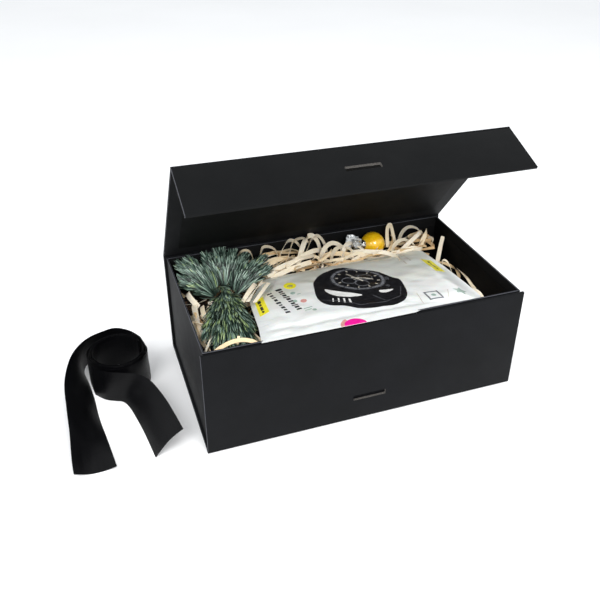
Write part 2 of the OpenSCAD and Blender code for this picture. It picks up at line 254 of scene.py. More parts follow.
def satinMaterial():
    # woven polyester satin, black: a smooth face with a soft gloss along the warp; its 0.1 mm weft
    # is drawn at 0.35 mm so that it shows
    material, tree, shader, place = startMaterial("satin")
    lay = addNode(tree, "UVMap")
    weft = addNode(tree, "TexWave", {"bands_direction": "Y"}, Vector=lay, Scale=0.9, Distortion=0.6,
                   Detail=1.0)
    drawn = addNode(tree, "Mapping", Vector=lay, Scale=(26.0, 0.03, 1.0))
    slub = addNode(tree, "TexNoise", Vector=drawn, Scale=1.0, Detail=3.0)
    tone = addNode(tree, "ValToRGB", {"stops": ((0.3, "#040405"), (0.7, "#09090b"))}, i0=slub)
    gloss = addNode(tree, "MapRange", Value=slub, i3=0.24, i4=0.46)
    relief = addNode(tree, "Bump", Height=weft.outputs["Fac"], Strength=0.12, Distance=0.0002)
    plug(tree, shader, Base_Color=tone, Roughness=gloss, Specular_IOR_Level=0.14, Anisotropic=0.6,
         Sheen_Weight=0.02, Sheen_Roughness=0.3, Normal=relief)
    return material


def shavingMaterial():
    # aspen wood wool: thin planed strips with straight grain, cream to pinkish tan
    material, tree, shader, place = startMaterial("woodShavings")
    lay = addNode(tree, "UVMap")
    tint = addNode(tree, "Attribute", {"attribute_name": "tint"}).outputs["Fac"]
    along = addNode(tree, "Mapping", Vector=lay, Scale=(2.2, 0.1, 1.0))
    grain = addNode(tree, "TexNoise", Vector=along, Scale=2.0, Detail=5.0, Roughness=0.6)
    stops = ((0.0, "#cfa576"), (0.35, "#e6c99e"), (0.7, "#f3e2c4"), (1.0, "#faf1df"))
    tone = addNode(tree, "ValToRGB", {"stops": stops}, i0=tint)
    stops = ((0.25, (0.72, 0.62, 0.5)), (0.5, (0.96, 0.94, 0.9)), (0.8, (1.04, 1.04, 1.03)))
    lines = addNode(tree, "ValToRGB", {"stops": stops}, i0=grain)
    both = addNode(tree, "Mix", times, i0=1.0, i6=tone, i7=lines).outputs[2]
    relief = addNode(tree, "Bump", Height=grain, Strength=0.3, Distance=0.0002)
    plug(tree, shader, Base_Color=both, Roughness=0.68, Specular_IOR_Level=0.3, Subsurface_Weight=0.12,
         Subsurface_Radius=(0.002, 0.0012, 0.0006), Subsurface_Scale=1.0, Normal=relief)
    return material


def bedMaterial():
    # the deep, shaded part of the wood wool, under the loose strips
    material, tree, shader, place = startMaterial("woodBed")
    lying = addNode(tree, "Mapping", Vector=place, Scale=(1.0, 1.0, 0.4))
    tangle = addNode(tree, "TexNoise", Vector=lying, Scale=1 / (7.14 * mm), Detail=6.0, Roughness=0.65,
                     Distortion=1.6)
    stops = ((0.38, "#120c07"), (0.52, "#33251a"), (0.62, "#6d5238"), (0.75, "#a58259"))
    tone = addNode(tree, "ValToRGB", {"stops": stops}, i0=tangle)
    relief = addNode(tree, "Bump", Height=tangle, Strength=0.9, Distance=0.004)
    plug(tree, shader, Base_Color=tone, Roughness=0.85, Normal=relief)
    return material


def needleMaterial():
    # fir needles: waxy dark green to blue green, paler towards the tips as a painted highlight, and paler on
    # young shoots
    material, tree, shader, place = startMaterial("firNeedles")
    tint = addNode(tree, "Attribute", {"attribute_name": "tint"}).outputs["Fac"]
    stops = ((0.0, "#15211b"), (0.35, "#4c6659"), (0.65, "#9bb2a3"), (0.85, "#8aa467"), (1.0, "#b4c894"))
    tone = addNode(tree, "ValToRGB", {"stops": stops}, i0=tint)
    patches = addNode(tree, "TexNoise", Vector=place, Scale=1 / (3.85 * mm), Detail=2.0)
    stops = ((0.3, (0.75, 0.8, 0.8)), (0.7, (1.15, 1.12, 1.1)))
    mottle = addNode(tree, "ValToRGB", {"stops": stops}, i0=patches)
    both = addNode(tree, "Mix", times, i0=1.0, i6=tone, i7=mottle).outputs[2]
    pores = addNode(tree, "TexNoise", Vector=place, Scale=1 / (1.11 * mm), Detail=1.0)
    relief = addNode(tree, "Bump", Height=pores, Strength=0.2, Distance=0.0001)
    plug(tree, shader, Base_Color=both, Roughness=0.42, Specular_IOR_Level=0.5, Coat_Weight=0.15,
         Normal=relief)
    return material


def twigMaterial():
    # bark of a young fir twig
    material, tree, shader, place = startMaterial("firBark")
    scales = addNode(tree, "TexNoise", Vector=place, Scale=1 / (2 * mm), Detail=4.0)
    tone = addNode(tree, "ValToRGB", {"stops": ((0.3, "#3a2c1d"), (0.7, "#7a6444"))}, i0=scales)
    relief = addNode(tree, "Bump", Height=scales, Strength=0.5, Distance=0.0004)
    plug(tree, shader, Base_Color=tone, Roughness=0.85, Normal=relief)
    return material


def filmMaterial():
    # heat-sealed laminate film of the pouch: glossy white, painted greyer towards the back as shade
    material, tree, shader, place = startMaterial("film")
    drawn = addNode(tree, "Mapping", Vector=place, Scale=(1.0, 1.6, 1.0))
    cloud = addNode(tree, "TexNoise", Vector=drawn, Scale=1 / (90.9 * mm), Detail=4.0, Roughness=0.55,
                    Distortion=0.6)
    depth = addNode(tree, "SeparateXYZ", i0=place).outputs["Y"]
    # painted shade that grows towards the back along Y, mixed with a random cloud of tone
    back = addNode(tree, "MapRange", Value=depth, i1=-75 * mm, i2=45 * mm, i3=0.0, i4=1.0)
    backShadeAndCloud = addNode(tree, "Math", {"operation": "MULTIPLY_ADD"}, i0=back, i1=0.62, i2=cloud)
    stops = ((0.38, "#ececea"), (0.62, "#ebebe8"), (0.85, "#e2e2da"), (1.0, "#d3d2c6"))
    tone = addNode(tree, "ValToRGB", {"stops": stops}, i0=backShadeAndCloud)
    slack = addNode(tree, "Mapping", Vector=place, Scale=(0.7, 1.5, 1.0))
    crease = addNode(tree, "TexNoise", Vector=slack, Scale=1 / (23.8 * mm), Detail=4.0, Roughness=0.6,
                     Distortion=1.2)
    relief = addNode(tree, "Bump", Height=crease, Strength=0.35, Distance=0.002)
    plug(tree, shader, Base_Color=tone, Roughness=0.34, Coat_Weight=0.5, Coat_Roughness=0.12,
         Subsurface_Weight=0.08, Normal=relief)
    return material


def inkMaterial(name, colour, second, roughness=0.3):
    # print on the film: a slightly uneven ink with a thin gloss
    material, tree, shader, place = startMaterial(name)
    dots = addNode(tree, "TexNoise", Vector=place, Scale=1 / (3.125 * mm), Detail=3.0)
    tone = addNode(tree, "ValToRGB", {"stops": ((0.35, colour), (0.7, second))}, i0=dots)
    crease = addNode(tree, "TexNoise", Vector=place, Scale=1 / (23.8 * mm), Detail=3.0)
    relief = addNode(tree, "Bump", Height=crease, Strength=0.2, Distance=0.001)
    plug(tree, shader, Base_Color=tone, Roughness=roughness, Coat_Weight=0.4, Coat_Roughness=0.15,
         Normal=relief)
    return material


def baubleMaterial():
    # lacquered yellow-gold bauble with a fine metallic flake
    material, tree, shader, place = startMaterial("goldBall")
    flake = addNode(tree, "TexVoronoi", Vector=place, Scale=1 / (0.714 * mm)).outputs["Color"]
    level = addNode(tree, "SeparateColor", i0=flake)
    tone = addNode(tree, "ValToRGB", {"stops": ((0.0, "#f7b000"), (0.6, "#ffc908"), (1.0, "#ffdc30"))},
                   i0=level)
    relief = addNode(tree, "Bump", Height=level, Strength=0.03, Distance=0.0002)
    plug(tree, shader, Base_Color=tone, Metallic=0.1, Roughness=0.3, Coat_Weight=1.0, Coat_Roughness=0.05,
         Normal=relief)
    return material


def silverMaterial():
    # thin drawn aluminium of the bauble's cap and wire
    material, tree, shader, place = startMaterial("silverCap")
    wearAndSheen = addNode(tree, "TexNoise", Vector=place, Scale=1 / (2.5 * mm), Detail=3.0)
    tone = addNode(tree, "ValToRGB", {"stops": ((0.3, "#b9b8b4"), (0.7, "#e9e8e4"))}, i0=wearAndSheen)
    gloss = addNode(tree, "MapRange", Value=wearAndSheen, i3=0.18, i4=0.36)
    relief = addNode(tree, "Bump", Height=wearAndSheen, Strength=0.25, Distance=0.0003)
    plug(tree, shader, Base_Color=tone, Metallic=1.0, Roughness=gloss, Normal=relief)
    return material


def foilMaterial():
    # crumpled silver foil, only partly metallic so that its torn flaps stay pale
    material, tree, shader, place = startMaterial("foil")
    crumple = addNode(tree, "TexNoise", Vector=place, Scale=1 / (3.33 * mm), Detail=4.0, Roughness=0.6,
                      Distortion=0.8)
    tone = addNode(tree, "ValToRGB", {"stops": ((0.3, "#b4b9bb"), (0.7, "#f2f4f4"))}, i0=crumple)
    relief = addNode(tree, "Bump", Height=crumple, Strength=0.6, Distance=0.001)
    plug(tree, shader, Base_Color=tone, Metallic=0.4, Roughness=0.3, Normal=relief)
    return material


def foamMaterial():
    # white double-sided foam tape: closed cells and a slightly rough cut edge
    material, tree, shader, place = startMaterial("foamTape")
    cells = addNode(tree, "TexNoise", Vector=place, Scale=1 / (0.833 * mm), Detail=3.0)
    tone = addNode(tree, "ValToRGB", {"stops": ((0.3, "#c9c8c2"), (0.7, "#e9e8e3"))}, i0=cells)
    relief = addNode(tree, "Bump", Height=cells, Strength=0.5, Distance=0.0002)
    plug(tree, shader, Base_Color=tone, Roughness=0.9, Normal=relief)
    return material


def steelMaterial():
    # nickel-plated steel of the magnets and their keepers
    material, tree, shader, place = startMaterial("nickelSteel")
    drawn = addNode(tree, "Mapping", Vector=place, Scale=(1.0, 6.0, 1.0))
    brushed = addNode(tree, "TexNoise", Vector=drawn, Scale=1 / (2.86 * mm), Detail=3.0)
    tone = addNode(tree, "ValToRGB", {"stops": ((0.3, "#8f8e8a"), (0.7, "#b9b7b1"))}, i0=brushed)
    gloss = addNode(tree, "MapRange", Value=brushed, i3=0.28, i4=0.42)
    relief = addNode(tree, "Bump", Height=brushed, Strength=0.15, Distance=0.0002)
    plug(tree, shader, Base_Color=tone, Metallic=1.0, Roughness=gloss, Normal=relief)
    return material


materials = {
    "outer": paperMaterial("blackPaper", "#08090b", "#0c0d10", 0.62),
    # the flap's paper is the outer black paper painted darker, as painted shade
    "flap": paperMaterial("blackPaperFlapShaded", "#040506", "#08090a", 0.64),
    "inner": paperMaterial("blackLiner", "#090909", "#0d0d0e", 0.68, 0.0),
    # edge paper: worn paper, lightened further as a painted highlight along edges and rims
    "wearAndSheen": paperMaterial("blackPaperEdgeWearAndHighlight", "#3a3b40", "#505157", 0.5),
    "board": boardMaterial(), "satin": satinMaterial(), "shaving": shavingMaterial(), "bed": bedMaterial(),
    "needle": needleMaterial(), "twig": twigMaterial(), "film": filmMaterial(), "gold": baubleMaterial(),
    "silver": silverMaterial(), "foil": foilMaterial(), "foam": foamMaterial(), "steel": steelMaterial(),
    "inkBlack": inkMaterial("inkBlack", "#141416", "#232326"),
    "inkGrey": inkMaterial("inkGrey", "#626468", "#83858a"),
    "inkSteel": inkMaterial("inkSteel", "#3b3c3f", "#5b5c60", 0.25),
    "inkPale": inkMaterial("inkPale", "#b9b3a4", "#d6d1c4"),
    "inkWhite": inkMaterial("inkWhite", "#eeeeea", "#fbfbf8"),
    "inkYellow": inkMaterial("inkYellow", "#ece01c", "#f6ee35"),
    "inkPink": inkMaterial("inkPink", "#e0148c", "#ee2a9c"),
    "inkRed": inkMaterial("inkRed", "#c78a84", "#dba39c"),
    "inkGreen": inkMaterial("inkGreen", "#8fa79a", "#a9bdb1"),
}
print("materials made")


case = {"width": 330 * mm, "panel": 2.7 * mm, "creaseRadius": 1.35 * mm, "panelStart": 1.65 * mm,
        "edge": 0.4 * mm,
        "slot": (35 * mm, 6 * mm, 1 * mm), "frontSlot": 28 * mm, "flapSlot": 28.5 * mm, "linerInset": 15 * mm}

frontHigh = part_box("front_wrap")[1]
baseLow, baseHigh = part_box("base_wrap")
backLow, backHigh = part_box("back_wrap")
hinge = Vector(joints["lid_hinge"]["pos_m"])
fold = Vector(joints["flap_fold"]["pos_m"])
lidReach = (fold - hinge).length
lidAlong = (fold - hinge).normalized()
lidOut = lidAlong.cross(Vector((-1, 0, 0))).normalized()
if lidOut.z < 0:
    lidOut = -lidOut
flapBend = math.radians(joints["flap_fold"]["range_deg"][1])
flapTurn = Matrix.Rotation(flapBend, 3, "X")
flapAlong, flapOut = flapTurn @ lidAlong, flapTurn @ lidOut
flapLength = 57.5 * mm - case["panelStart"]


def panelPlace(origin, along, out):
    # panel space has X across, Y along the panel and Z from its inner face outwards
    matrix = Matrix.Identity(4)
    for k, column in enumerate(((1, 0, 0), along, out, origin)):
        for i in range(3):
            matrix[i][k] = column[i]
    return matrix


def cutSlot(obj, place, middle):
    # punches a ribbon slot through a panel, and shows the board inside it
    length, width, radius = case["slot"]
    bm = bmesh.new()
    outline = []
    for cornerX, cornerY, start in ((1, 1, 0), (-1, 1, 90), (-1, -1, 180), (1, -1, 270)):
        for k in range(6):
            a = math.radians(start + 18 * k)
            outline.append((cornerX * (length / 2 - radius) + radius * math.cos(a),
                            middle + cornerY * (width / 2 - radius) + radius * math.sin(a)))
    face = bm.faces.new([bm.verts.new((x, y, -0.01)) for x, y in outline])
    grown = bmesh.ops.extrude_face_region(bm, geom=[face])["geom"]
    bmesh.ops.translate(bm, vec=(0, 0, 0.02), verts=vertsOf(grown))
    for f in bm.faces:
        f.material_index = 1
    bmesh.ops.transform(bm, matrix=place, verts=bm.verts)
    cutter = finishObject("cutter", bm, [materials["outer"], materials["board"]], None)
    change = obj.modifiers.new("slot", "BOOLEAN")
    change.object = cutter
    change.operation = "DIFFERENCE"
    change.solver = "EXACT"
    bpy.context.view_layer.update()
    mesh = bpy.data.meshes.new_from_object(obj.evaluated_get(bpy.context.evaluated_depsgraph_get()))
    obj.modifiers.clear()
    obj.data = mesh
    bpy.data.objects.remove(cutter)
    mesh.shade_smooth()
    mesh.set_sharp_from_angle(angle=math.radians(35))


def makePanel(name, body, place, length, replaced, slotAt=None, liner=False, paper="outer"):
    bm = bmesh.new()
    half = case["width"] / 2
    boxInto(bm, (-half, 0, 0), (half, length, case["panel"]), case["edge"])
    # the narrow rounded faces along every edge take the lighter edge paper: wear and a painted highlight
    for f in bm.faces:
        narrow = f.calc_area() < 0.35 * case["edge"] * case["width"]
        if narrow and max(abs(c) for c in f.normal) < 0.97:
            f.material_index = 2
    bmesh.ops.transform(bm, matrix=place, verts=bm.verts)
    panel = finishObject(name, bm, [materials[paper], materials["board"], materials["wearAndSheen"]], body)
    if slotAt is not None:
        cutSlot(panel, place, slotAt)
    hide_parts(*replaced)
    if liner:
        bm = bmesh.new()
        inset = case["linerInset"]
        boxInto(bm, (-half + inset, inset, -0.12 * mm), (half - inset, length - inset, 0.12 * mm), 0.06 * mm,
                2)
        bmesh.ops.transform(bm, matrix=place, verts=bm.verts)
        sheet = finishObject(name + "Liner", bm, [materials["inner"], materials["board"]], body)
        if slotAt is not None:
            cutSlot(sheet, place, slotAt)
    return panel


t, r0 = case["panel"], case["creaseRadius"]
basePlace = panelPlace((0, baseHigh.y, t), (0, -1, 0), (0, 0, -1))
frontPlace = panelPlace((0, frontHigh.y, t), (0, 0, 1), (0, -1, 0))
backPlace = panelPlace((0, backLow.y, t), (0, 0, 1), (0, 1, 0))
lidPlace = panelPlace(hinge + lidAlong * case["panelStart"] - lidOut * r0, lidAlong, lidOut)
flapPlace = panelPlace(fold + flapAlong * case["panelStart"] - flapOut * r0, flapAlong, flapOut)
makePanel("basePanel", "case", basePlace, baseHigh.y - baseLow.y, ("base_wrap", "base_board"))
makePanel("frontPanel", "case", frontPlace, frontHigh.z - t, ("front_wrap", "front_board"),
          case["frontSlot"] - t)
makePanel("backPanel", "case", backPlace, backHigh.z - t, ("back_wrap", "back_board"))
makePanel("lidPanel", "lid", lidPlace, lidReach - r0 - 0.05 * mm - case["panelStart"],
          ("lid_wrap", "lid_board", "lid_liner"), None, True)
makePanel("flapPanel", "flap", flapPlace, flapLength, ("flap_wrap", "flap_board", "flap_liner"),
          case["flapSlot"] - case["panelStart"], True, "flap")
for name, coat in (("front_fold", "outer"), ("back_fold", "outer"), ("lid_crease", "outer"),
                   ("flap_crease", "outer"),
                   ("front_keepers", "steel"), ("flap_magnets", "steel"), ("front_tapes", "foam")):
    nodes[name].data.materials.clear()
    nodes[name].data.materials.append(materials[coat])


tray = {"skin": 2.3 * mm, "lining": 0.25 * mm, "rimRound": 0.5 * mm, "linerDrop": 12 * mm, "liner": 0.14 * mm}


def makeTray():
    low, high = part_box("tray_wrap")
    skin = tray["skin"]
    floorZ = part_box("tray_floor")[1].z + tray["lining"]
    bm = bmesh.new()
    boxInto(bm, low, high)
    top = max(bm.faces, key=lambda f: f.calc_center_median().z)
    bmesh.ops.inset_individual(bm, faces=[top], thickness=skin)
    grown = bmesh.ops.extrude_face_region(bm, geom=[top])["geom"]
    for v in vertsOf(grown):
        v.co.z = floorZ
    # the extrude leaves the first face behind, as a lid over the tray
    lids = [f for f in bm.faces if f.calc_center_median().z == high.z and len(f.verts) == 4
            and f.calc_area() > 0.04]
    for f in lids:
        bm.faces.remove(f)
    rim = [e for e in bm.edges if all(abs(v.co.z - high.z) < 1e-6 for v in e.verts) and len(e.link_faces) == 2
           and abs(e.link_faces[0].normal.z - e.link_faces[1].normal.z) > 0.5]
    rimFaces = bmesh.ops.bevel(bm, geom=rim, offset=tray["rimRound"], affect="EDGES", segments=3, profile=0.5,
                               material=-1)["faces"]
    # the rounded rim takes the lighter edge paper: wear and a painted highlight
    for f in rimFaces:
        f.material_index = 2
    for f in bm.faces:
        c = f.calc_center_median()
        between = abs(c.x) < high.x - 1.2 * mm and low.y + 1.2 * mm < c.y < high.y - 1.2 * mm
        if between and low.z + 1 * mm < c.z < high.z - 1 * mm:
            f.material_index = 1
    shell = finishObject("tray", bm, [materials["outer"], materials["inner"], materials["wearAndSheen"]], "case")
    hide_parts("tray_wrap", "tray_lining", "tray_floor", "tray_front_wall", "tray_back_wall",
                "tray_left_wall", "tray_right_wall", "tray_corner_stays")
    # the inner paper's top edge shows a little below the rim
    bm = bmesh.new()
    gap, lift = skin - 0.02 * mm, tray["liner"]
    inX, y0, y1 = high.x - gap, low.y + gap, high.y - gap
    z0, z1 = floorZ, high.z - tray["linerDrop"]
    for a, b in (((-inX, y0, z0), (inX, y0 + lift, z1)), ((-inX, y1 - lift, z0), (inX, y1, z1)),
                 ((-inX, y0, z0), (-inX + lift, y1, z1)), ((inX - lift, y0, z0), (inX, y1, z1))):
        boxInto(bm, a, b)
    finishObject("trayLiner", bm, [materials["inner"]], "case")


makeTray()
print("case and tray made")


# the ribbon in millimetres: it is folded double and rolled, with both ends drawn out
ribbon = {"width": 38, "thickness": 0.3, "roll": (-228.5, 46.5), "radius": 31, "pitch": 4, "turnEnd": 700,
          "lie": 0.3, "telescope": 5, "lap": 0.575, "leftCurl": (-4.5, 90), "rightCurl": (2.5, 110),
          "ripple": (0.25, 9.0)}
# stations along each end: the lower edge's x, y, z and the upper edge's
longTail = [(-248, -82, 3, -281, -83, 6), (-252, -45, 1, -283, -47, 19), (-256.5, -8, 0.3, -284.5, -10, 25),
            (-258.5, 26, 0.3, -284, 24, 28), (-261.5, 53, 0.3, -277.5, 50, 34),
            (-264.5, 75, 0.3, -266.5, 70, 38),
            (-257.5, 90, 0.3, -254, 84, 37.5), (-243, 94.5, 0.3, -240, 90, 38),
            (-228, 90.5, 0.3, -225, 92, 38),
            (-214, 80, 0.3, -211, 82, 38), (-202.5, 66, 0.3, -201.5, 66.5, 38)]
shortTail = [(-212.5, -80, 0.3, -185, -77, 24), (-217, -46, 0.3, -190, -42, 26),
             (-221.5, -20, 0.3, -196, -17, 29),
             (-226, 0, 0.3, -203, 0, 31), (-231, 10.5, 0.3, -213, 8, 34), (-239, 15, 0.3, -227, 11.5, 37),
             (-248, 20.5, 0.3, -243.5, 17, 38), (-257, 32, 0.3, -256, 31.5, 38)]


def smoothStations(rows, steps):
    lows = smoothLine([r[:3] for r in rows], steps)
    highs = smoothLine([r[3:] for r in rows], steps)
    return list(zip(lows, highs))


def makeRibbon():
    cx, cy = ribbon["roll"]

    def onRoll(angle, radius):
        a = math.radians(angle)
        x, y = cx + radius * math.cos(a), cy - radius * math.sin(a)
        rise = ribbon["telescope"] * max(0.0, angle - 60) / ribbon["turnEnd"]
        return Vector((x, y, ribbon["lie"] + rise)), Vector((x, y, 38.0 + rise))

    inner = ribbon["turnEnd"]
    spacing = ribbon["pitch"] * ribbon["lap"]

    def inRadius(angle):
        return ribbon["radius"] - ribbon["pitch"] * angle / 360

    def outRadius(angle):
        return inRadius(angle) + spacing

    middleR = (inRadius(inner) + outRadius(inner)) / 2
    turn = [onRoll(inner + 5 - 5 * abs(k / 3) ** 2, middleR + spacing / 2 * k / 3) for k in (-2, -1, 0, 1, 2)]
    stations = (smoothStations(longTail, 8) + [onRoll(a, inRadius(a)) for a in range(5, inner, 7)] + turn
                + [onRoll(a, outRadius(a)) for a in range(inner - 2, 181, -7)]
                + smoothStations(shortTail, 8)[::-1])
    lows, highs = [], []
    for low, high in stations:
        lows.append(low)
        highs.append(low + (high - low).normalized() * ribbon["width"])
    mids = [(a + b) / 2 for a, b in zip(lows, highs)]
    count, across = len(mids), 10
    run = [0.0]
    for i in range(1, count):
        run.append(run[-1] + (mids[i] - mids[i - 1]).length)
    bm = bmesh.new()
    uv = bm.loops.layers.uv.new("UVMap")
    front, back = [], []
    for i in range(count):
        along = mids[min(i + 1, count - 1)] - mids[max(i - 1, 0)]
        up = highs[i] - lows[i]
        face = along.cross(up).normalized()
        # both drawn-out ends curl a little across their width
        leftCurl = ribbon["leftCurl"][0] * max(0.0, 1 - run[i] / ribbon["leftCurl"][1]) ** 2
        rightCurl = ribbon["rightCurl"][0] * max(0.0, 1 - (run[-1] - run[i]) / ribbon["rightCurl"][1]) ** 2
        ripple = ribbon["ripple"][0] * math.sin(run[i] / ribbon["ripple"][1])
        rows = ([], [])
        for k in range(across + 1):
            s = k / across
            bulge = (leftCurl + rightCurl) * math.sin(math.pi * s)
            centre = lows[i] + up * s + face * (bulge + ripple * math.sin(2.2 * math.pi * s))
            edge = 0.55 + 0.45 * math.sin(math.pi * min(s, 1 - s) * 4) if min(s, 1 - s) < 0.125 else 1.0
            half = ribbon["thickness"] / 2 * edge
            rows[0].append(bm.verts.new((centre + face * half) * mm))
            rows[1].append(bm.verts.new((centre - face * half) * mm))
        front.append(rows[0])
        back.append(rows[1])

    def quad(a, b, c, d, uvs):
        f = bm.faces.new((a, b, c, d))
        for loop, (u, v) in zip(f.loops, uvs):
            loop[uv].uv = (u, v)

    for i in range(count - 1):
        v0, v1 = run[i], run[i + 1]
        for k in range(across):
            u0, u1 = k / across, (k + 1) / across
            quad(front[i][k], front[i][k + 1], front[i + 1][k + 1], front[i + 1][k],
                 ((u0, v0), (u1, v0), (u1, v1), (u0, v1)))
            quad(back[i + 1][k], back[i + 1][k + 1], back[i][k + 1], back[i][k],
                 ((u0, v1), (u1, v1), (u1, v0), (u0, v0)))
        quad(front[i + 1][0], back[i + 1][0], back[i][0], front[i][0], ((0, v1), (0, v1), (0, v0), (0, v0)))
        quad(front[i][across], back[i][across], back[i + 1][across], front[i + 1][across],
             ((1, v0), (1, v0), (1, v1), (1, v1)))
    for i in (0, count - 1):
        for k in range(across):
            quad(front[i][k], back[i][k], back[i][k + 1], front[i][k + 1], ((0, 0),) * 4)
    obj = finishObject("satinRibbon", bm, [materials["satin"]], "ribbon", 50)
    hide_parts("satin_ribbon")


makeRibbon()
print("ribbon made")


wool = {"seed": 7, "width": (2.6, 4.4), "thickness": 0.25, "squashFrom": 62 * mm, "keep": 0.8, "rim": 116.8,
        "left": 24, "back": 64, "right": 22, "under": 26, "middle": 90}


def addShaving(bm, layers, points, width, across, tint, curlTurn=0.0):
    # adds one closed strip along a line of points, in millimetres
    uv, shade = layers
    run, rings, previous = 0.0, [], None
    across = Vector(across).normalized()
    count = len(points)
    for i, point in enumerate(points):
        tangent = (points[min(i + 1, count - 1)] - points[max(i - 1, 0)]).normalized()
        if curlTurn:
            across = Matrix.Rotation(curlTurn / count, 3, tangent) @ across
        side = (across - tangent * across.dot(tangent))
        side = side.normalized() if side.length > 0.15 else (previous or tangent.orthogonal().normalized())
        if previous and side.dot(previous) < 0:
            side = -side
        previous = side
        face = side.cross(tangent).normalized()
        if i:
            run += (point - points[i - 1]).length
        end = min(1.0, 0.8 + 0.2 * min(i, count - 1 - i))
        half, thick = width / 2 * end, wool["thickness"] / 2
        cup = 0.03 * width
        ring = [point - side * half + face * thick, point + face * (thick + cup),
                point + side * half + face * thick,
                point + side * half - face * thick, point - face * (thick - cup),
                point - side * half - face * thick]
        rings.append(([bm.verts.new(p * mm) for p in ring], run))
        for v in rings[-1][0]:
            v[shade] = tint
    lay = (0.0, 0.5, 1.0, 1.0, 0.5, 0.0)
    for (a, va), (b, vb) in zip(rings, rings[1:]):
        for k in range(6):
            j = (k + 1) % 6
            f = bm.faces.new((a[k], a[j], b[j], b[k]))
            for loop, (u, v) in zip(f.loops, ((lay[k], va), (lay[j], va), (lay[j], vb), (lay[k], vb))):
                loop[uv].uv = (u * width + 50 * tint, v + 300 * tint)
    bm.faces.new(rings[0][0][::-1])
    bm.faces.new(rings[-1][0])


def randomShaving(rng, low, high, length, looseness):
    # a wandering curl that stays between two corners
    pos = Vector(rng.uniform(a, b) for a, b in zip(low, high))
    heading, rise = rng.uniform(0, 2 * math.pi), rng.uniform(-0.4, 0.4)
    bend = rng.choice((-1, 1)) * rng.uniform(0.004, 0.03) * looseness
    points = [pos.copy()]
    step = 3.0
    for i in range(int(length / step)):
        bend += rng.uniform(-0.006, 0.006)
        heading += bend * step
        rise += rng.uniform(-0.16, 0.16) - 0.10 * rise
        move = Vector((math.cos(heading) * math.cos(rise), math.sin(heading) * math.cos(rise),
                       math.sin(rise)))
        pos = pos + move * step
        for axis in range(3):
            if pos[axis] < low[axis] or pos[axis] > high[axis]:
                pos[axis] = min(max(pos[axis], low[axis]), high[axis])
                if axis == 2:
                    rise = -0.5 * rise
                else:
                    heading += 0.35
        points.append(pos.copy())
    return points


def relaxed(points, times=2):
    for _ in range(times):
        middle = [(a + b * 2 + c) / 4 for a, b, c in zip(points, points[1:], points[2:])]
        points = [points[0]] + middle + [points[-1]]
    return points


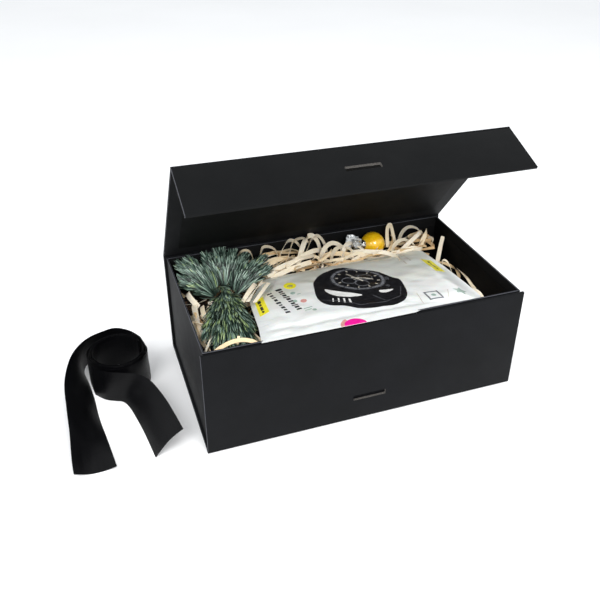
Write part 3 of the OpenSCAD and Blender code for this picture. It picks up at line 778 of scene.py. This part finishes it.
# strips that stand out: the line they follow, the direction across them, width and tint
placedStrips = [
    # over the front left corner
    ([(-153, -84, 109), (-144, -81, 112.5), (-134, -78, 114), (-124, -77.5, 114), (-116, -81, 113.5),
      (-111.5, -84.5, 112)], (0.1, 0.5, 0.9), 3.4, 0.5),
    ([(-128, -76, 109), (-126, -74, 112.5), (-125, -72, 114.8)], (1, 0.2, 0), 2.4, 0.6),
    # bundle and long strips down the left wall
    ([(-150, 40, 100), (-152, 30, 104), (-150, 20, 103), (-145, 12, 98)], (0.8, 0.2, 0.5), 5.4, 1.0),
    ([(-146, 26, 97), (-149, 14, 99), (-151, -6, 98), (-153, -28, 99), (-151, -48, 98)], (0.9, 0.1, 0.3),
     5.2, 0.95),
    ([(-141, 16, 96), (-143, -2, 98), (-142, -24, 97), (-146, -46, 98), (-141, -60, 96)], (0.8, 0.0, 0.5),
     4.6, 0.8),
    ([(-153, 6, 94), (-155, -20, 97), (-155, -44, 98), (-151, -64, 98), (-146, -78, 95)], (0.7, 0.0, 0.7),
     4.2, 0.6),
    # three short pale pieces at the pouch's left corner
    ([(-101, -13, 110.5), (-93, -3, 112.5), (-84, 8, 113), (-77, 16, 112)], (0.8, -0.5, 0.3), 4.4, 1.0),
    ([(-95, -17, 111), (-86, -7, 113), (-78, 3, 113.5), (-72, 11, 113)], (0.8, -0.4, 0.3), 4.2, 1.0),
    ([(-106, -9, 107), (-98, 0, 110), (-90, 10, 111), (-84, 18, 110)], (0.7, -0.5, 0.3), 4.4, 0.9),
    # hoops along the back wall
    ([(-88, 80, 96), (-86, 84, 106), (-80, 86, 112), (-73, 84, 112), (-70, 80, 106), (-72, 76, 99)],
     (0.1, 1, 0.2), 4.2, 0.7),
    ([(-66, 70, 96), (-62, 78, 106), (-57, 84, 113), (-50, 85, 113), (-43, 82, 109), (-42, 76, 101)],
     (0.2, 1, 0.2), 4.6, 0.8),
    ([(-50, 60, 98), (-42, 70, 106), (-34, 79, 113), (-26, 84, 117), (-18, 84, 114), (-12, 80, 104)],
     (0.5, 0.9, 0.2), 4.8, 0.9),
    ([(-40, 62, 97), (-30, 72, 108), (-22, 82, 116), (-10, 84, 117.5), (-4, 82, 112)], (0.4, 1, 0), 4.4,
     0.75),
    ([(-24, 60, 99), (-18, 68, 108), (-10, 78, 116), (-4, 84, 118.5), (2, 85, 118), (7, 82, 111),
      (8, 76, 102), (5, 68, 96)], (0.7, 0.5, 0.3), 5.0, 0.95),
    ([(-20, 66, 96), (-8, 76, 106), (0, 83, 115), (8, 85, 117), (14, 82, 110), (15, 74, 101)],
     (0.5, 0.8, 0.1), 4.6, 0.85),
    # long flat ones between the pouch and the hoops
    ([(-64, 44, 101), (-50, 50, 104), (-34, 56, 105), (-18, 60, 106), (-4, 64, 104)], (0.2, 0.7, 0.7), 5.0,
     0.95),
    ([(-60, 42, 98), (-42, 47, 101), (-26, 50, 103), (-10, 54, 103)], (0.1, 0.8, 0.6), 4.8, 0.85),
    ([(-40, 54, 102), (-22, 60, 107), (-4, 68, 108), (10, 74, 104)], (0.1, 0.7, 0.7), 4.6, 0.9),
    ([(-70, 52, 99), (-58, 58, 104), (-44, 66, 106), (-30, 72, 102)], (0.3, 0.7, 0.6), 4.4, 0.6),
    # curls between the hoops and the bauble
    ([(-2, 52, 98), (4, 60, 106), (12, 68, 111), (22, 72, 112), (30, 68, 108), (30, 60, 101)],
     (0.4, 0.7, 0.4), 4.6, 0.9),
    ([(10, 50, 97), (16, 58, 105), (24, 64, 109), (34, 64, 109), (42, 58, 104), (44, 52, 98)],
     (0.3, 0.8, 0.4), 4.6, 0.8),
    ([(24, 50, 99), (30, 60, 107), (38, 68, 110), (48, 70, 107), (56, 64, 102)], (0.3, 0.7, 0.5), 4.4, 0.95),
    ([(36, 48, 98), (46, 50, 101), (58, 51, 102.5), (70, 50, 102), (80, 46, 100)], (0.1, 0.6, 0.8), 4.6,
     0.85),
    ([(38, 58, 104), (48, 54, 106), (60, 49, 106), (71, 45, 105.5), (79, 39, 104.5), (82, 30, 104.5),
      (81, 21, 105)], (0.4, 0.6, 0.7), 4.2, 0.95),
    ([(0, 62, 100), (12, 62, 104), (26, 58, 105), (40, 52, 103)], (0.1, 0.7, 0.7), 4.6, 0.5),
    # round the bauble and to its right
    ([(88, 66, 98), (90, 74, 108), (93, 80, 116), (98, 83, 117), (100, 80, 108), (99, 72, 100)],
     (0.8, 0.3, 0.1), 4.4, 0.75),
    ([(88, 56, 98), (96, 62, 104), (106, 64, 106), (114, 58, 104), (116, 50, 100)], (0.3, 0.8, 0.5), 4.6,
     0.85),
    ([(96, 50, 99), (106, 54, 104), (117, 60, 107), (128, 68, 108), (138, 78, 104)], (0.3, 0.5, 0.8), 4.4,
     0.95),
    ([(104, 72, 98), (112, 80, 106), (122, 84, 110), (132, 82, 108), (137, 74, 102)], (0.2, 0.9, 0.3), 4.6,
     0.9),
    ([(122, 50, 96), (128, 58, 103), (136, 66, 107), (143, 76, 106), (147, 82, 98)], (0.3, 0.7, 0.5), 4.6,
     0.7),
    ([(86, 48, 97), (98, 46, 102), (110, 46, 103), (122, 48, 99)], (0.0, 0.8, 0.6), 4.8, 0.95),
    ([(110, 44, 97), (120, 50, 102), (127, 58, 103), (131, 66, 98)], (0.5, 0.5, 0.7), 4.6, 0.8),
    # single ones standing along the right wall
    ([(142, 44, 74), (147, 50, 84), (152, 56, 95), (156, 60, 104)], (0.6, -0.3, 0.2), 4.4, 0.9),
    ([(126, 4, 86), (128, 8, 97), (131, 12, 102), (135, 8, 100), (137, 0, 90), (137, -6, 82)],
     (0.3, 0.9, 0.1), 4.0, 0.85),
    ([(134, -30, 84), (138, -38, 92), (141, -50, 93), (142, -62, 86), (140, -72, 78)], (0.8, 0.1, 0.5), 4.6,
     0.95),
    ([(146, -20, 72), (150, -40, 76), (150, -60, 74), (146, -76, 70)], (0.8, 0.0, 0.5), 4.4, 0.5)]


def makeWool():
    low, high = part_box("wood_wool")
    x0, x1, y0, y1 = low.x, high.x, low.y, high.y
    rng = random.Random(wool["seed"])

    def bedHeight(x, y):
        h = 74.0
        if x > 116:
            h = 58.0
        if y > 44 and -100 < x < 138:
            h = 84.0 if x < 52 else 80.0
        return (h + 7 * noise.noise(Vector((x, y, 0)) / 17) + 4 * noise.noise(Vector((x, y, 5)) / 7)) * mm

    bm = bmesh.new()
    columns, rows = 96, 54
    grid = [[bm.verts.new((x0 + (x1 - x0) * i / columns, y0 + (y1 - y0) * j / rows, 0))
             for j in range(rows + 1)]
            for i in range(columns + 1)]
    for line in grid:
        for v in line:
            v.co.z = bedHeight(v.co.x / mm, v.co.y / mm)
    for i in range(columns):
        for j in range(rows):
            bm.faces.new((grid[i][j], grid[i + 1][j], grid[i + 1][j + 1], grid[i][j + 1]))
    edge = [e for e in bm.edges if len(e.link_faces) == 1]
    grown = bmesh.ops.extrude_edge_only(bm, edges=edge)["geom"]
    for v in vertsOf(grown):
        v.co.z = low.z
    bmesh.ops.contextual_create(bm, geom=[g for g in grown if isinstance(g, bmesh.types.BMEdge)])
    bed = finishObject("woodWoolBed", bm, [materials["bed"]], "case", 60)
    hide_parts("wood_wool")

    zones = {"left": ((-157, -83, 84), (-104, 83, 103), (40, 90)),
             "back": ((-98, 46, 86), (140, 84, 106), (40, 85)),
             "right": ((122, -82, 60), (157, 60, 82), (40, 90)),
             "under": ((-110, 36, 84), (118, 60, 98), (40, 90)),
             "middle": ((-106, -84, 75), (118, 36, 84), (60, 120))}
    for zone, (a, b, lengths) in zones.items():
        bm = bmesh.new()
        layers = (bm.loops.layers.uv.new("UVMap"), bm.verts.layers.float.new("tint"))
        for _ in range(wool[zone]):
            length = rng.uniform(*lengths)
            points = relaxed(randomShaving(rng, a, b, length, rng.choice((0.6, 1.0, 1.8))))
            across = (rng.uniform(-0.5, 0.5), rng.uniform(-0.5, 0.5), rng.uniform(0.2, 1.0))
            addShaving(bm, layers, points, rng.uniform(*wool["width"]), across, rng.uniform(0.1, 1.0),
                       rng.uniform(-5, 5))
        finishObject("woodWool" + zone.capitalize(), bm, [materials["shaving"]], "case", 60)
    for name, tall in (("woodWoolCurls", False), ("woodWoolHoops", True)):
        bm = bmesh.new()
        layers = (bm.loops.layers.uv.new("UVMap"), bm.verts.layers.float.new("tint"))
        for line, across, width, tint in placedStrips:
            if (max(point[2] for point in line) + 0.6 * width > wool["rim"]) == tall:
                addShaving(bm, layers, smoothLine(line, 6), 1.1 * width, across, tint, rng.uniform(-1.3, 1.3))
        strips = finishObject(name, bm, [materials["shaving"]], "case", 60)
        if tall:
            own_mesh(strips)


makeWool()
print("wood wool made")


# each sprig is a few shoots: start, end, needle length and number
sprigs = {
    "left": {"seed": 3, "young": 0.03, "ceiling": 120.5, "lean": (44, 74),
             "shoots": [((-121, 30, 98), (-145, 68, 110), 20, 480),
                        ((-124, 26, 97), (-148, 46, 106), 19, 330),
                        ((-118, 36, 98), (-137, 74, 110), 19, 260)]},
    "back": {"seed": 5, "young": 0.02, "ceiling": 121, "lean": (40, 68),
             "shoots": [((-112, 36, 100), (-107, 76, 113), 20, 480),
                        ((-112, 40, 100), (-119, 74, 111), 19, 300),
                        ((-108, 40, 101), (-96, 72, 112), 19, 300)]},
    "right": {"seed": 8, "young": 0.03, "ceiling": 115.4, "lean": (42, 72),
              "shoots": [((-106, 28, 99), (-69, 61, 108), 19, 480), ((-104, 20, 99), (-67, 45, 106), 16, 300),
                         ((-104, 34, 100), (-84, 70, 109), 18, 260)]},
    "front": {"seed": 11, "young": 0.16, "ceiling": 115.4, "lean": (8, 42),
              "shoots": [((-117, 26, 102), (-127, -56, 105), 31, 430),
                         ((-119, 20, 100), (-146, -34, 103), 27, 280),
                         ((-119, 14, 100), (-140, -48, 103), 29, 300),
                         ((-118, 10, 100), (-134, -58, 103), 29, 300),
                         ((-115, 10, 101), (-119, -60, 104), 29, 300),
                         ((-114, 16, 101), (-112, -52, 104), 29, 300),
                         ((-113, 22, 101), (-107, -36, 104), 26, 260),
                         ((-119, 32, 105), (-118, 6, 111), 20, 150)]},
}


# a needle's shares of its full width along it, how far it bends, and its tones from dark to pale
needles = {"profile": ((0.0, 0.5), (0.3, 1.0), (0.6, 1.0), (0.85, 0.75), (1.0, 0.25)), "bend": 0.42,
           "width": (1.15, 1.6), "thick": 0.22, "tones": (-0.18, 0.0, 0.2, 0.4, 0.56),
           "youngTones": (0.72, 1.0)}


def addNeedle(bm, shade, base, direction, bend, length, width, tint, ceiling):
    # a flat curved needle with a blunt tip
    side = direction.cross(bend)
    side = side.normalized() if side.length > 1e-4 else direction.orthogonal().normalized()
    face = side.cross(direction).normalized()
    rings = []
    for s, w in needles["profile"]:
        centre = base + direction * (length * s) + bend * (needles["bend"] * length * s * s)
        centre = Vector((min(max(centre.x, -158), 158), min(max(centre.y, -85.5), 86),
                         min(centre.z, ceiling)))
        half, thick = width / 2 * w, needles["thick"] * width * w
        ring = [bm.verts.new(p * mm) for p in (centre - side * half, centre + face * thick,
                                               centre + side * half, centre - face * thick)]
        # each needle is painted paler towards its tip, a painted highlight
        for v in ring:
            v[shade] = min(1.0, max(0.0, tint - 0.2 + 0.3 * s))
        rings.append(ring)
    for a, b in zip(rings, rings[1:]):
        for k in range(4):
            bm.faces.new((a[k], a[(k + 1) % 4], b[(k + 1) % 4], b[k]))
    bm.faces.new(rings[0][::-1])
    bm.faces.new(rings[-1])


def makeSprig(name, facts):
    rng = random.Random(facts["seed"])
    bm = bmesh.new()
    shade = bm.verts.layers.float.new("tint")
    for start, end, needle, count in facts["shoots"]:
        start, end = Vector(start), Vector(end)
        line = smoothLine([start, (start + end) / 2 + Vector((0, 0, 2)), end], 10)
        axis = (end - start).normalized()
        a, b = axis.orthogonal().normalized(), axis.cross(axis.orthogonal()).normalized()
        rings = []
        for i, p in enumerate(line):
            radius = 1.4 - 0.9 * i / (len(line) - 1)
            rings.append([bm.verts.new((p + a * radius * math.cos(k * math.pi / 3)
                                        + b * radius * math.sin(k * math.pi / 3)) * mm)
                          for k in range(6)])
        faces = [bm.faces.new((r[k], r[(k + 1) % 6], q[(k + 1) % 6], q[k])) for r,
                 q in zip(rings, rings[1:]) for k in range(6)]
        for f in faces + [bm.faces.new(rings[0][::-1]), bm.faces.new(rings[-1])]:
            f.material_index = 1
        for n in range(count):
            s = (n + rng.random()) / count
            place = s * (len(line) - 1)
            i = min(int(place), len(line) - 2)
            base = line[i].lerp(line[i + 1], place - i)
            tangent = (line[i + 1] - line[i]).normalized()
            side = tangent.cross(Vector((0, 0, 1))).normalized()
            over = side.cross(tangent).normalized()
            around = rng.gauss(90, 62)
            out = side * math.cos(math.radians(around)) + over * math.sin(math.radians(around))
            lean = math.radians(rng.uniform(*facts["lean"]) * (1 - 0.45 * s))
            direction = (tangent * math.cos(lean) + out * math.sin(lean)).normalized()
            length = needle * rng.uniform(0.8, 1.12) * (1 - 0.2 * s)
            tip = base + direction * length + tangent * (0.25 * length)
            # needles bend away from the lid and from the tray's walls
            for axisIndex, least, most in ((0, -157.5, 157.5), (1, -85, 85.5), (2, 90, facts["ceiling"])):
                direction[axisIndex] -= (max(0.0, tip[axisIndex] - most)
                                         + min(0.0, tip[axisIndex] - least)) / length
            direction.normalize()
            tint = rng.choice(needles["tones"]) + rng.uniform(-0.06, 0.06)
            if rng.random() < facts["young"] * (1.6 - s):
                tint = rng.uniform(*needles["youngTones"])
            addNeedle(bm, shade, base, direction, tangent - direction * tangent.dot(direction), length,
                      rng.uniform(*needles["width"]), tint, facts["ceiling"] + 0.6)
    sprig = finishObject("firSprig" + name.capitalize(), bm, [materials["needle"], materials["twig"]],
                         "case", 40)
    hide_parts("fir_sprig_" + name)
    if facts["ceiling"] > 117:
        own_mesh(sprig)


for name, facts in sprigs.items():
    makeSprig(name, facts)
print("fir sprigs made")


pouch = {"outline": [(-109, -91.8, 116.6), (-60, -92, 116.7), (0, -92, 116.7), (44, -91.6, 116.6),
                     (56, -86, 115), (90, -82, 112), (124, -79, 107),
                     (129, -70, 105), (129, -40, 103), (127, 0, 100.5), (119, 40, 101), (112, 43, 101.5),
                     (60, 43.5, 100.5),
                     (0, 43, 100), (-60, 43, 98.5), (-69, 41, 98), (-82, 22, 98.5), (-95, 3, 100),
                     (-98, -20, 103), (-103, -60, 110)],
         "top": 109.2, "slope": -0.085, "depth": 12}


def makePouch():
    corners = [Vector(p) for p in pouch["outline"]]
    ring = []
    for i, p in enumerate(corners):
        q = corners[(i + 1) % len(corners)]
        steps = max(2, int((q - p).length / 2.2))
        ring += [p.lerp(q, k / steps) for k in range(steps)]
    count, rings = len(ring), 26
    centre = Vector((8, -22, 0))
    bm = bmesh.new()

    def surface(edge, t, side):
        x, y = edge.x + (centre.x - edge.x) * t, edge.y + (centre.y - edge.y) * t
        inside = min(1.0, t / 0.22)
        ease = inside * inside * (3 - 2 * inside)
        if side > 0:
            plane = pouch["top"] + pouch["slope"] * (y + 20) + 1.2 * math.cos(x / 70)
            z = edge.z + (plane - edge.z) * ease
            spot = Vector((x, y, 0))
            z += ease * (1.1 * noise.noise(spot / 24) + 0.7 * noise.noise(spot / 11 + Vector((3, 1, 0))))
            # folds that run in from the sealed edges
            z -= 1.1 * ease * math.exp(-((y - 0.35 * x + 55) / 5) ** 2) * max(0.0, 1 - abs(x + 78) / 40)
            z -= 0.9 * math.exp(-((y + 74 + 0.04 * x) / 3) ** 2) * ease
            z += 0.8 * math.exp(-((y + 80) / 4) ** 2) * ease
            z -= 1.0 * math.exp(-((y - 28 + 0.3 * (x - 90)) / 4) ** 2) * max(0.0, 1 - abs(x - 92) / 40) * ease
            return Vector((x, y, z))
        return Vector((x, y, edge.z - 0.4 - pouch["depth"] * ease * 0.9))

    top = [[surface(e, (k / rings) ** 1.25, 1) for e in ring] for k in range(rings)]
    bottom = [[surface(e, (k / rings) ** 1.25, -1) for e in ring] for k in range(1, rings)]
    loops = [[bm.verts.new(p * mm) for p in row] for row in top]
    under = [[bm.verts.new(p * mm) for p in row] for row in bottom]
    for a, b in zip(loops, loops[1:]):
        for k in range(count):
            bm.faces.new((a[k], a[(k + 1) % count], b[(k + 1) % count], b[k]))
    bm.faces.new(loops[-1])
    chain = [loops[0]] + under
    for a, b in zip(chain, chain[1:]):
        for k in range(count):
            bm.faces.new((a[(k + 1) % count], a[k], b[k], b[(k + 1) % count]))
    bm.faces.new(under[-1][::-1])
    obj = finishObject("giftPouch", bm, [materials["film"]], "pouch", 70)
    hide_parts("gift_pouch")
    return obj


pouchObject = makePouch()
pouchTree = BVHTree.FromObject(pouchObject, bpy.context.evaluated_depsgraph_get())


def insideShape(x, y, outline):
    hit = False
    for (ax, ay), (bx, by) in zip(outline, outline[1:] + outline[:1]):
        if (ay > y) != (by > y) and x < (bx - ax) * (y - ay) / (by - ay) + ax:
            hit = not hit
    return hit


def drape(bm, outline, lift):
    # adds a thin printed shape that follows the pouch's face; outline and lift are in millimetres
    dense = []
    for (ax, ay), (bx, by) in zip(outline, outline[1:] + outline[:1]):
        steps = max(1, int(math.hypot(bx - ax, by - ay) / 2.0))
        dense += [Vector((ax + (bx - ax) * k / steps, ay + (by - ay) * k / steps)) for k in range(steps)]
    loop = [(p.x, p.y) for p in dense]
    xs, ys = [p[0] for p in loop], [p[1] for p in loop]
    points = list(dense)
    gap = 2.0
    for i in range(int((max(xs) - min(xs)) / gap) + 1):
        for j in range(int((max(ys) - min(ys)) / gap) + 1):
            x, y = min(xs) + gap * (i + 0.5), min(ys) + gap * (j + 0.5)
            if insideShape(x, y, loop) and min((x - a) ** 2 + (y - b) ** 2 for a, b in loop) > 0.8:
                points.append(Vector((x, y)))
    n = len(dense)
    verts, _, faces, *_ = geometry.delaunay_2d_cdt(points, [(k, (k + 1) % n) for k in range(n)], [], 1, 1e-5)
    top, low = [], []
    for p in verts:
        hit = pouchTree.ray_cast(Vector((p.x * mm, p.y * mm, 0.3)), Vector((0, 0, -1)))
        z = hit[0].z if hit[0] is not None else 0.1
        top.append(bm.verts.new((p.x * mm, p.y * mm, z + lift * mm)))
        low.append(bm.verts.new((p.x * mm, p.y * mm, z + (lift - 0.12) * mm)))
    rim = {}
    for f in faces:
        bm.faces.new([top[i] for i in f])
        bm.faces.new([low[i] for i in f][::-1])
        for a, b in zip(f, f[1:] + f[:1]):
            rim[(a, b)] = rim.get((a, b), 0) + 1
    for a, b in rim:
        if (b, a) not in rim:
            bm.faces.new((top[b], top[a], low[a], low[b]))


def circle(cx, cy, radius, start=0, stop=360, count=28, stretchY=1.0):
    step = (stop - start) / count
    closed = stop - start >= 360
    return [(cx + radius * math.cos(math.radians(start + k * step)),
             cy + stretchY * radius * math.sin(math.radians(start + k * step)))
            for k in range(count if closed else count + 1)]


def arcBand(cx, cy, inner, outer, start, stop, count=24):
    return circle(cx, cy, outer, start, stop, count) + circle(cx, cy, inner, start, stop, count)[::-1]


def bar(ax, ay, bx, by, width):
    dx, dy = bx - ax, by - ay
    size = math.hypot(dx, dy)
    nx, ny = -dy / size * width / 2, dx / size * width / 2
    return [(ax + nx, ay + ny), (ax - nx, ay - ny), (bx - nx, by - ny), (bx + nx, by + ny)]


def dashes(ax, ay, bx, by, width, pattern, gap=0.9):
    # a row of plain blocks of uneven height in place of a line of words
    total = sum(pattern) + gap * (len(pattern) - 1)
    size = math.hypot(bx - ax, by - ay)
    ux, uy = (bx - ax) / size, (by - ay) / size
    at, out = 0.0, []
    for k, piece in enumerate(pattern):
        start, stop = at * size / total, (at + piece) * size / total
        out.append(bar(ax + ux * start, ay + uy * start, ax + ux * stop, ay + uy * stop,
                       width * (1, 0.7, 0.82, 0.66)[k % 4]))
        at += piece + gap
    return out


def rounded(outline, steps=4):
    # the same outline with its corners drawn smoothly
    points = [Vector((x, y, 0)) for x, y in outline]
    line = smoothLine(points[-2:] + points + points[:3], steps)[2 * steps:(len(points) + 2) * steps]
    return [(p.x, p.y) for p in line]


# the printed watch, drawn at a slant: the dial's middle and its two half axes, and the strap's outlines
watch = {"middle": (19.5, -6), "axes": ((26.5, -12), (8, 23)), "chrono": [(-10, -1), (9, 2), (1, -10)],
         "strap": [(-25, 5), (-10, 20), (10, 25), (30, 15), (45, 5), (55, -15), (60, -25), (55, -50),
                   (45, -65), (30, -70), (0, -66), (-15, -55), (-30, -45), (-34, -30), (-30, -10)],
         "gaps": [[(-20, -14), (-10, -24), (5, -34), (10, -40), (-10, -37), (-20, -25)],
                  [(30, -38), (45, -39), (37, -43), (30, -43)]],
         "edge": [(-30, -35), (-15, -45), (0, -58), (27, -61), (45, -56), (55, -35)]}


def dialOval(size, start=0, stop=360, count=40, shift=(0, 0)):
    # part of the dial's outline
    (mx, my), (ax, ay), (bx, by) = watch["middle"], *watch["axes"]
    step = (stop - start) / count
    out = []
    for k in range(count if stop - start >= 360 else count + 1):
        c, s = math.cos(math.radians(start + k * step)), math.sin(math.radians(start + k * step))
        out.append((mx + shift[0] + size * (ax * c + bx * s), my + shift[1] + size * (ay * c + by * s)))
    return out


def dialBand(inner, outer, start, stop, count=24, shift=(0, 0)):
    return dialOval(outer, start, stop, count, shift) + dialOval(inner, start, stop, count, shift)[::-1]


def dialMark(angle, inner, outer, width):
    (ax, ay), (bx, by) = dialOval(inner, angle, angle + 1, 1)[0], dialOval(outer, angle, angle + 1, 1)[0]
    return bar(ax, ay, bx, by, width)


def makePrint():
    layers = [
        ("Strap", "inkBlack", 0.10, [rounded(watch["strap"])]),
        ("StrapGap", "inkWhite", 0.20, [rounded(gap, 3) for gap in watch["gaps"]]),
        ("Case", "inkSteel", 0.28, [dialOval(1.0), bar(47, -14, 51, -15, 6), bar(44, 0, 47, 2, 4),
                                    bar(42, -28, 45, -31, 4)]),
        ("Dial", "inkBlack", 0.38, [dialOval(0.84)]),
        ("Bezel", "inkGrey", 0.46, [dialBand(0.87, 0.96, a, a + 25, 6) for a in range(0, 360, 30)]
         + [dialBand(0.24, 0.27, 0, 350, 24, c) for c in watch["chrono"]]),
        ("Hands", "inkPale", 0.54, [bar(14, -1, 35, -11, 1.3), bar(23, -12, 12, 8, 1.5),
                                    dialOval(0.06, count=12)]
         + [dialMark(a, 0.70, 0.80, 1.3) for a in range(0, 360, 30)]
         + [dialMark(a, 0.05, 0.16, 0.8) for a in (70, 200)]),
        ("StrapHoles", "inkWhite", 0.20, [bar(-20 + 5 * k, -37 - 2 * k, -22 + 5 * k, -43 - 3 * k,
                                              1.2 + 0.3 * k) for k in range(4)]),
        ("StrapEdge", "inkSteel", 0.20, [bar(*p, *q, 0.8) for p, q in zip(watch["edge"], watch["edge"][1:])]
         + [bar(20, -44, 27, -58, 0.8)]),
        ("LabelLeft", "inkYellow", 0.10, [[(-91, -2), (-82, 0), (-85, -35), (-95, -37)]]),
        ("LabelRight", "inkYellow", 0.10, [[(105, 19), (118, 17), (120, -12), (107, -14)]]),
        ("LabelMarks", "inkBlack", 0.20, dashes(-87.5, -5, -90, -32, 3.2, (3, 2, 4, 2))
         + dashes(112, 13, 113.5, -8, 2.6, (2, 1.5, 3, 2))),
        ("Words", "inkBlack", 0.12, dashes(-75.5, -1, -69.5, -47, 5.0,
                                           (1.6, 2.4, 1.4, 2.8, 2.2, 1.5, 2.4, 1.8, 2.0), 1.6)
         + dashes(-64.5, 4, -57, -44, 6.6, (2.6, 1.8, 1.2, 2.2, 1.4, 2.8, 1.6, 2.2, 1.2, 2.4, 1.8), 1.3)),
        ("Badge", "inkYellow", 0.10, [circle(-51, 6, 6.5)]),
        ("BadgeMark", "inkGrey", 0.20, [bar(-54, 6, -48, 6, 1.6), bar(-53, 3.5, -49, 3.5, 1.0)]),
        ("IconsGreen", "inkGreen", 0.10, [circle(-53, -10, 2.6, count=14), bar(-50, -14, -46, -14, 1.4),
                                          circle(-56, -26, 2.4, count=14),
                                          bar(-53, -44, -44, -43, 1.6), bar(-53, -48, -46, -47, 1.4),
                                          circle(-44, -50, 2.2, count=12)]),
        ("IconRed", "inkRed", 0.10, [circle(-48, -29, 3.2, count=16)]),
        ("Frame", "inkGrey", 0.10, [bar(x, -73, x, -57, 1.8) for x in (70, 84)]
         + [bar(71, y, 83, y, 1.8) for y in (-72, -58)]),
        ("FrameDot", "inkGreen", 0.10, [circle(77, -65, 2.5, count=14)]),
        ("SideRule", "inkPale", 0.10, [bar(63, -55, 60, -77, 0.7), bar(96, -59, 90, -73, 0.7)]),
        ("Star", "inkGreen", 0.10, [[(108 + r * math.cos(math.radians(36 * k)),
                                      -64 + r * math.sin(math.radians(36 * k)))
                                     for k, r in enumerate((8, 4) * 5)]]),
        ("CornerMarks", "inkPale", 0.10, dashes(84, 33, 84, 10, 2.2, (3, 2, 4))
         + dashes(92, 33, 92, 16, 2.6, (2, 3, 2))),
        ("HalfDisc", "inkPink", 0.12, [circle(-18, -91.5, 11, 0, 180, 24, 0.9)]),
        ("HalfDiscPale", "inkRed", 0.09, [arcBand(-20, -91.5, 9.0, 12.5, 110, 180, 10)]),
    ]
    for name, ink, lift, shapes in layers:
        bm = bmesh.new()
        for shape in shapes:
            drape(bm, shape, lift)
        finishObject("print" + name, bm, [materials[ink]], "pouch", 60)


makePrint()
print("pouch made")


# the cap's profile is radius and height above its seat; each flap of foil has a start, an end and a width
bauble = {"flutes": 14, "fluteDepth": 0.07, "capSeat": 3.0 * mm,
          "capProfile": [(0.2, 7.6), (2.6, 7.2), (4.2, 6.2), (4.9, 3.9), (4.9, 1.2), (5.3, 0.6), (5.1, -0.6),
                         (4.4, -0.4), (4.2, 2.6), (3.6, 5.4), (0.2, 6.4)],
          "foil": [((58, 72, 106), (41, 79, 111), 11), ((57, 72, 106), (38, 72, 110), 12),
                   ((57, 71, 106), (45, 66, 111), 11)],
          "foilSeed": 12, "foilThickness": 0.15}


def makeBauble():
    low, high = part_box("bauble_ball")
    centre, radius = (low + high) / 2, (high - low).x / 2
    bm = bmesh.new()
    bmesh.ops.create_uvsphere(bm, u_segments=64, v_segments=40, radius=radius)
    bmesh.ops.translate(bm, vec=centre, verts=bm.verts)
    ball = finishObject("baubleBall", bm, [materials["gold"]], "bauble", 80)
    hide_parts("bauble_ball")
    # the cap points the way its CAD node does
    capLow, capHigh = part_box("bauble_cap")
    axis = ((capLow + capHigh) / 2 - centre).normalized()
    turn = Vector((0, 0, 1)).rotation_difference(axis).to_matrix().to_4x4()
    bm = bmesh.new()
    flutes, profile = bauble["flutes"], bauble["capProfile"]
    rows = []
    for k in range(flutes * 4):
        a = 2 * math.pi * k / (flutes * 4)
        row = []
        for r, z in profile:
            wave = 1 + (bauble["fluteDepth"] * math.cos(flutes * a) if z < 6 else 0)
            row.append(bm.verts.new((r * wave * math.cos(a) * mm, r * wave * math.sin(a) * mm,
                                     radius - bauble["capSeat"] + z * mm)))
        rows.append(row)
    for a, b in zip(rows, rows[1:] + rows[:1]):
        for k in range(len(profile)):
            j = (k + 1) % len(profile)
            bm.faces.new((a[k], b[k], b[j], a[j]))
    bmesh.ops.transform(bm, matrix=Matrix.Translation(centre) @ turn, verts=bm.verts)
    cap = finishObject("baubleCap", bm, [materials["silver"]], "bauble", 50)
    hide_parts("bauble_cap")
    # a torn bit of silver foil is knotted round the loop
    bm = bmesh.new()
    rng = random.Random(bauble["foilSeed"])
    for start, end, width in bauble["foil"]:
        a, b = Vector(start), Vector(end)
        across = (b - a).cross(Vector((0.35, 0.8, -0.5))).normalized()
        rows = []
        for i in range(9):
            s = i / 8
            mid, half = a.lerp(b, s), width * (0.2 + 0.3 * math.sin(math.pi * min(1, s * 0.75)))
            rows.append([mid + across * half * k / 4 + Vector(rng.uniform(-0.8, 0.8) for _ in range(3))
                         for k in range(-4, 5)])
        for lift in (0.0, bauble["foilThickness"]):
            grid = [[bm.verts.new((p + Vector((0, 0, lift))) * mm) for p in row] for row in rows]
            if lift:
                edge = [(i, 0) for i in range(9)] + [(8, k) for k in range(1, 9)]
                edge += [(i, 8) for i in range(7, -1, -1)] + [(0, k) for k in range(7, 0, -1)]
                for (i, k), (m, n) in zip(edge, edge[1:] + edge[:1]):
                    bm.faces.new((grid[i][k], grid[m][n], under[m][n], under[i][k]))
            under = grid
            for i in range(8):
                for k in range(8):
                    bm.faces.new((grid[i][k], grid[i + 1][k], grid[i + 1][k + 1], grid[i][k + 1]))
    finishObject("baubleFoil", bm, [materials["foil"]], "bauble", 20)
    nodes["bauble_loop"].data.materials.clear()
    nodes["bauble_loop"].data.materials.append(materials["silver"])


makeBauble()
print("bauble made")
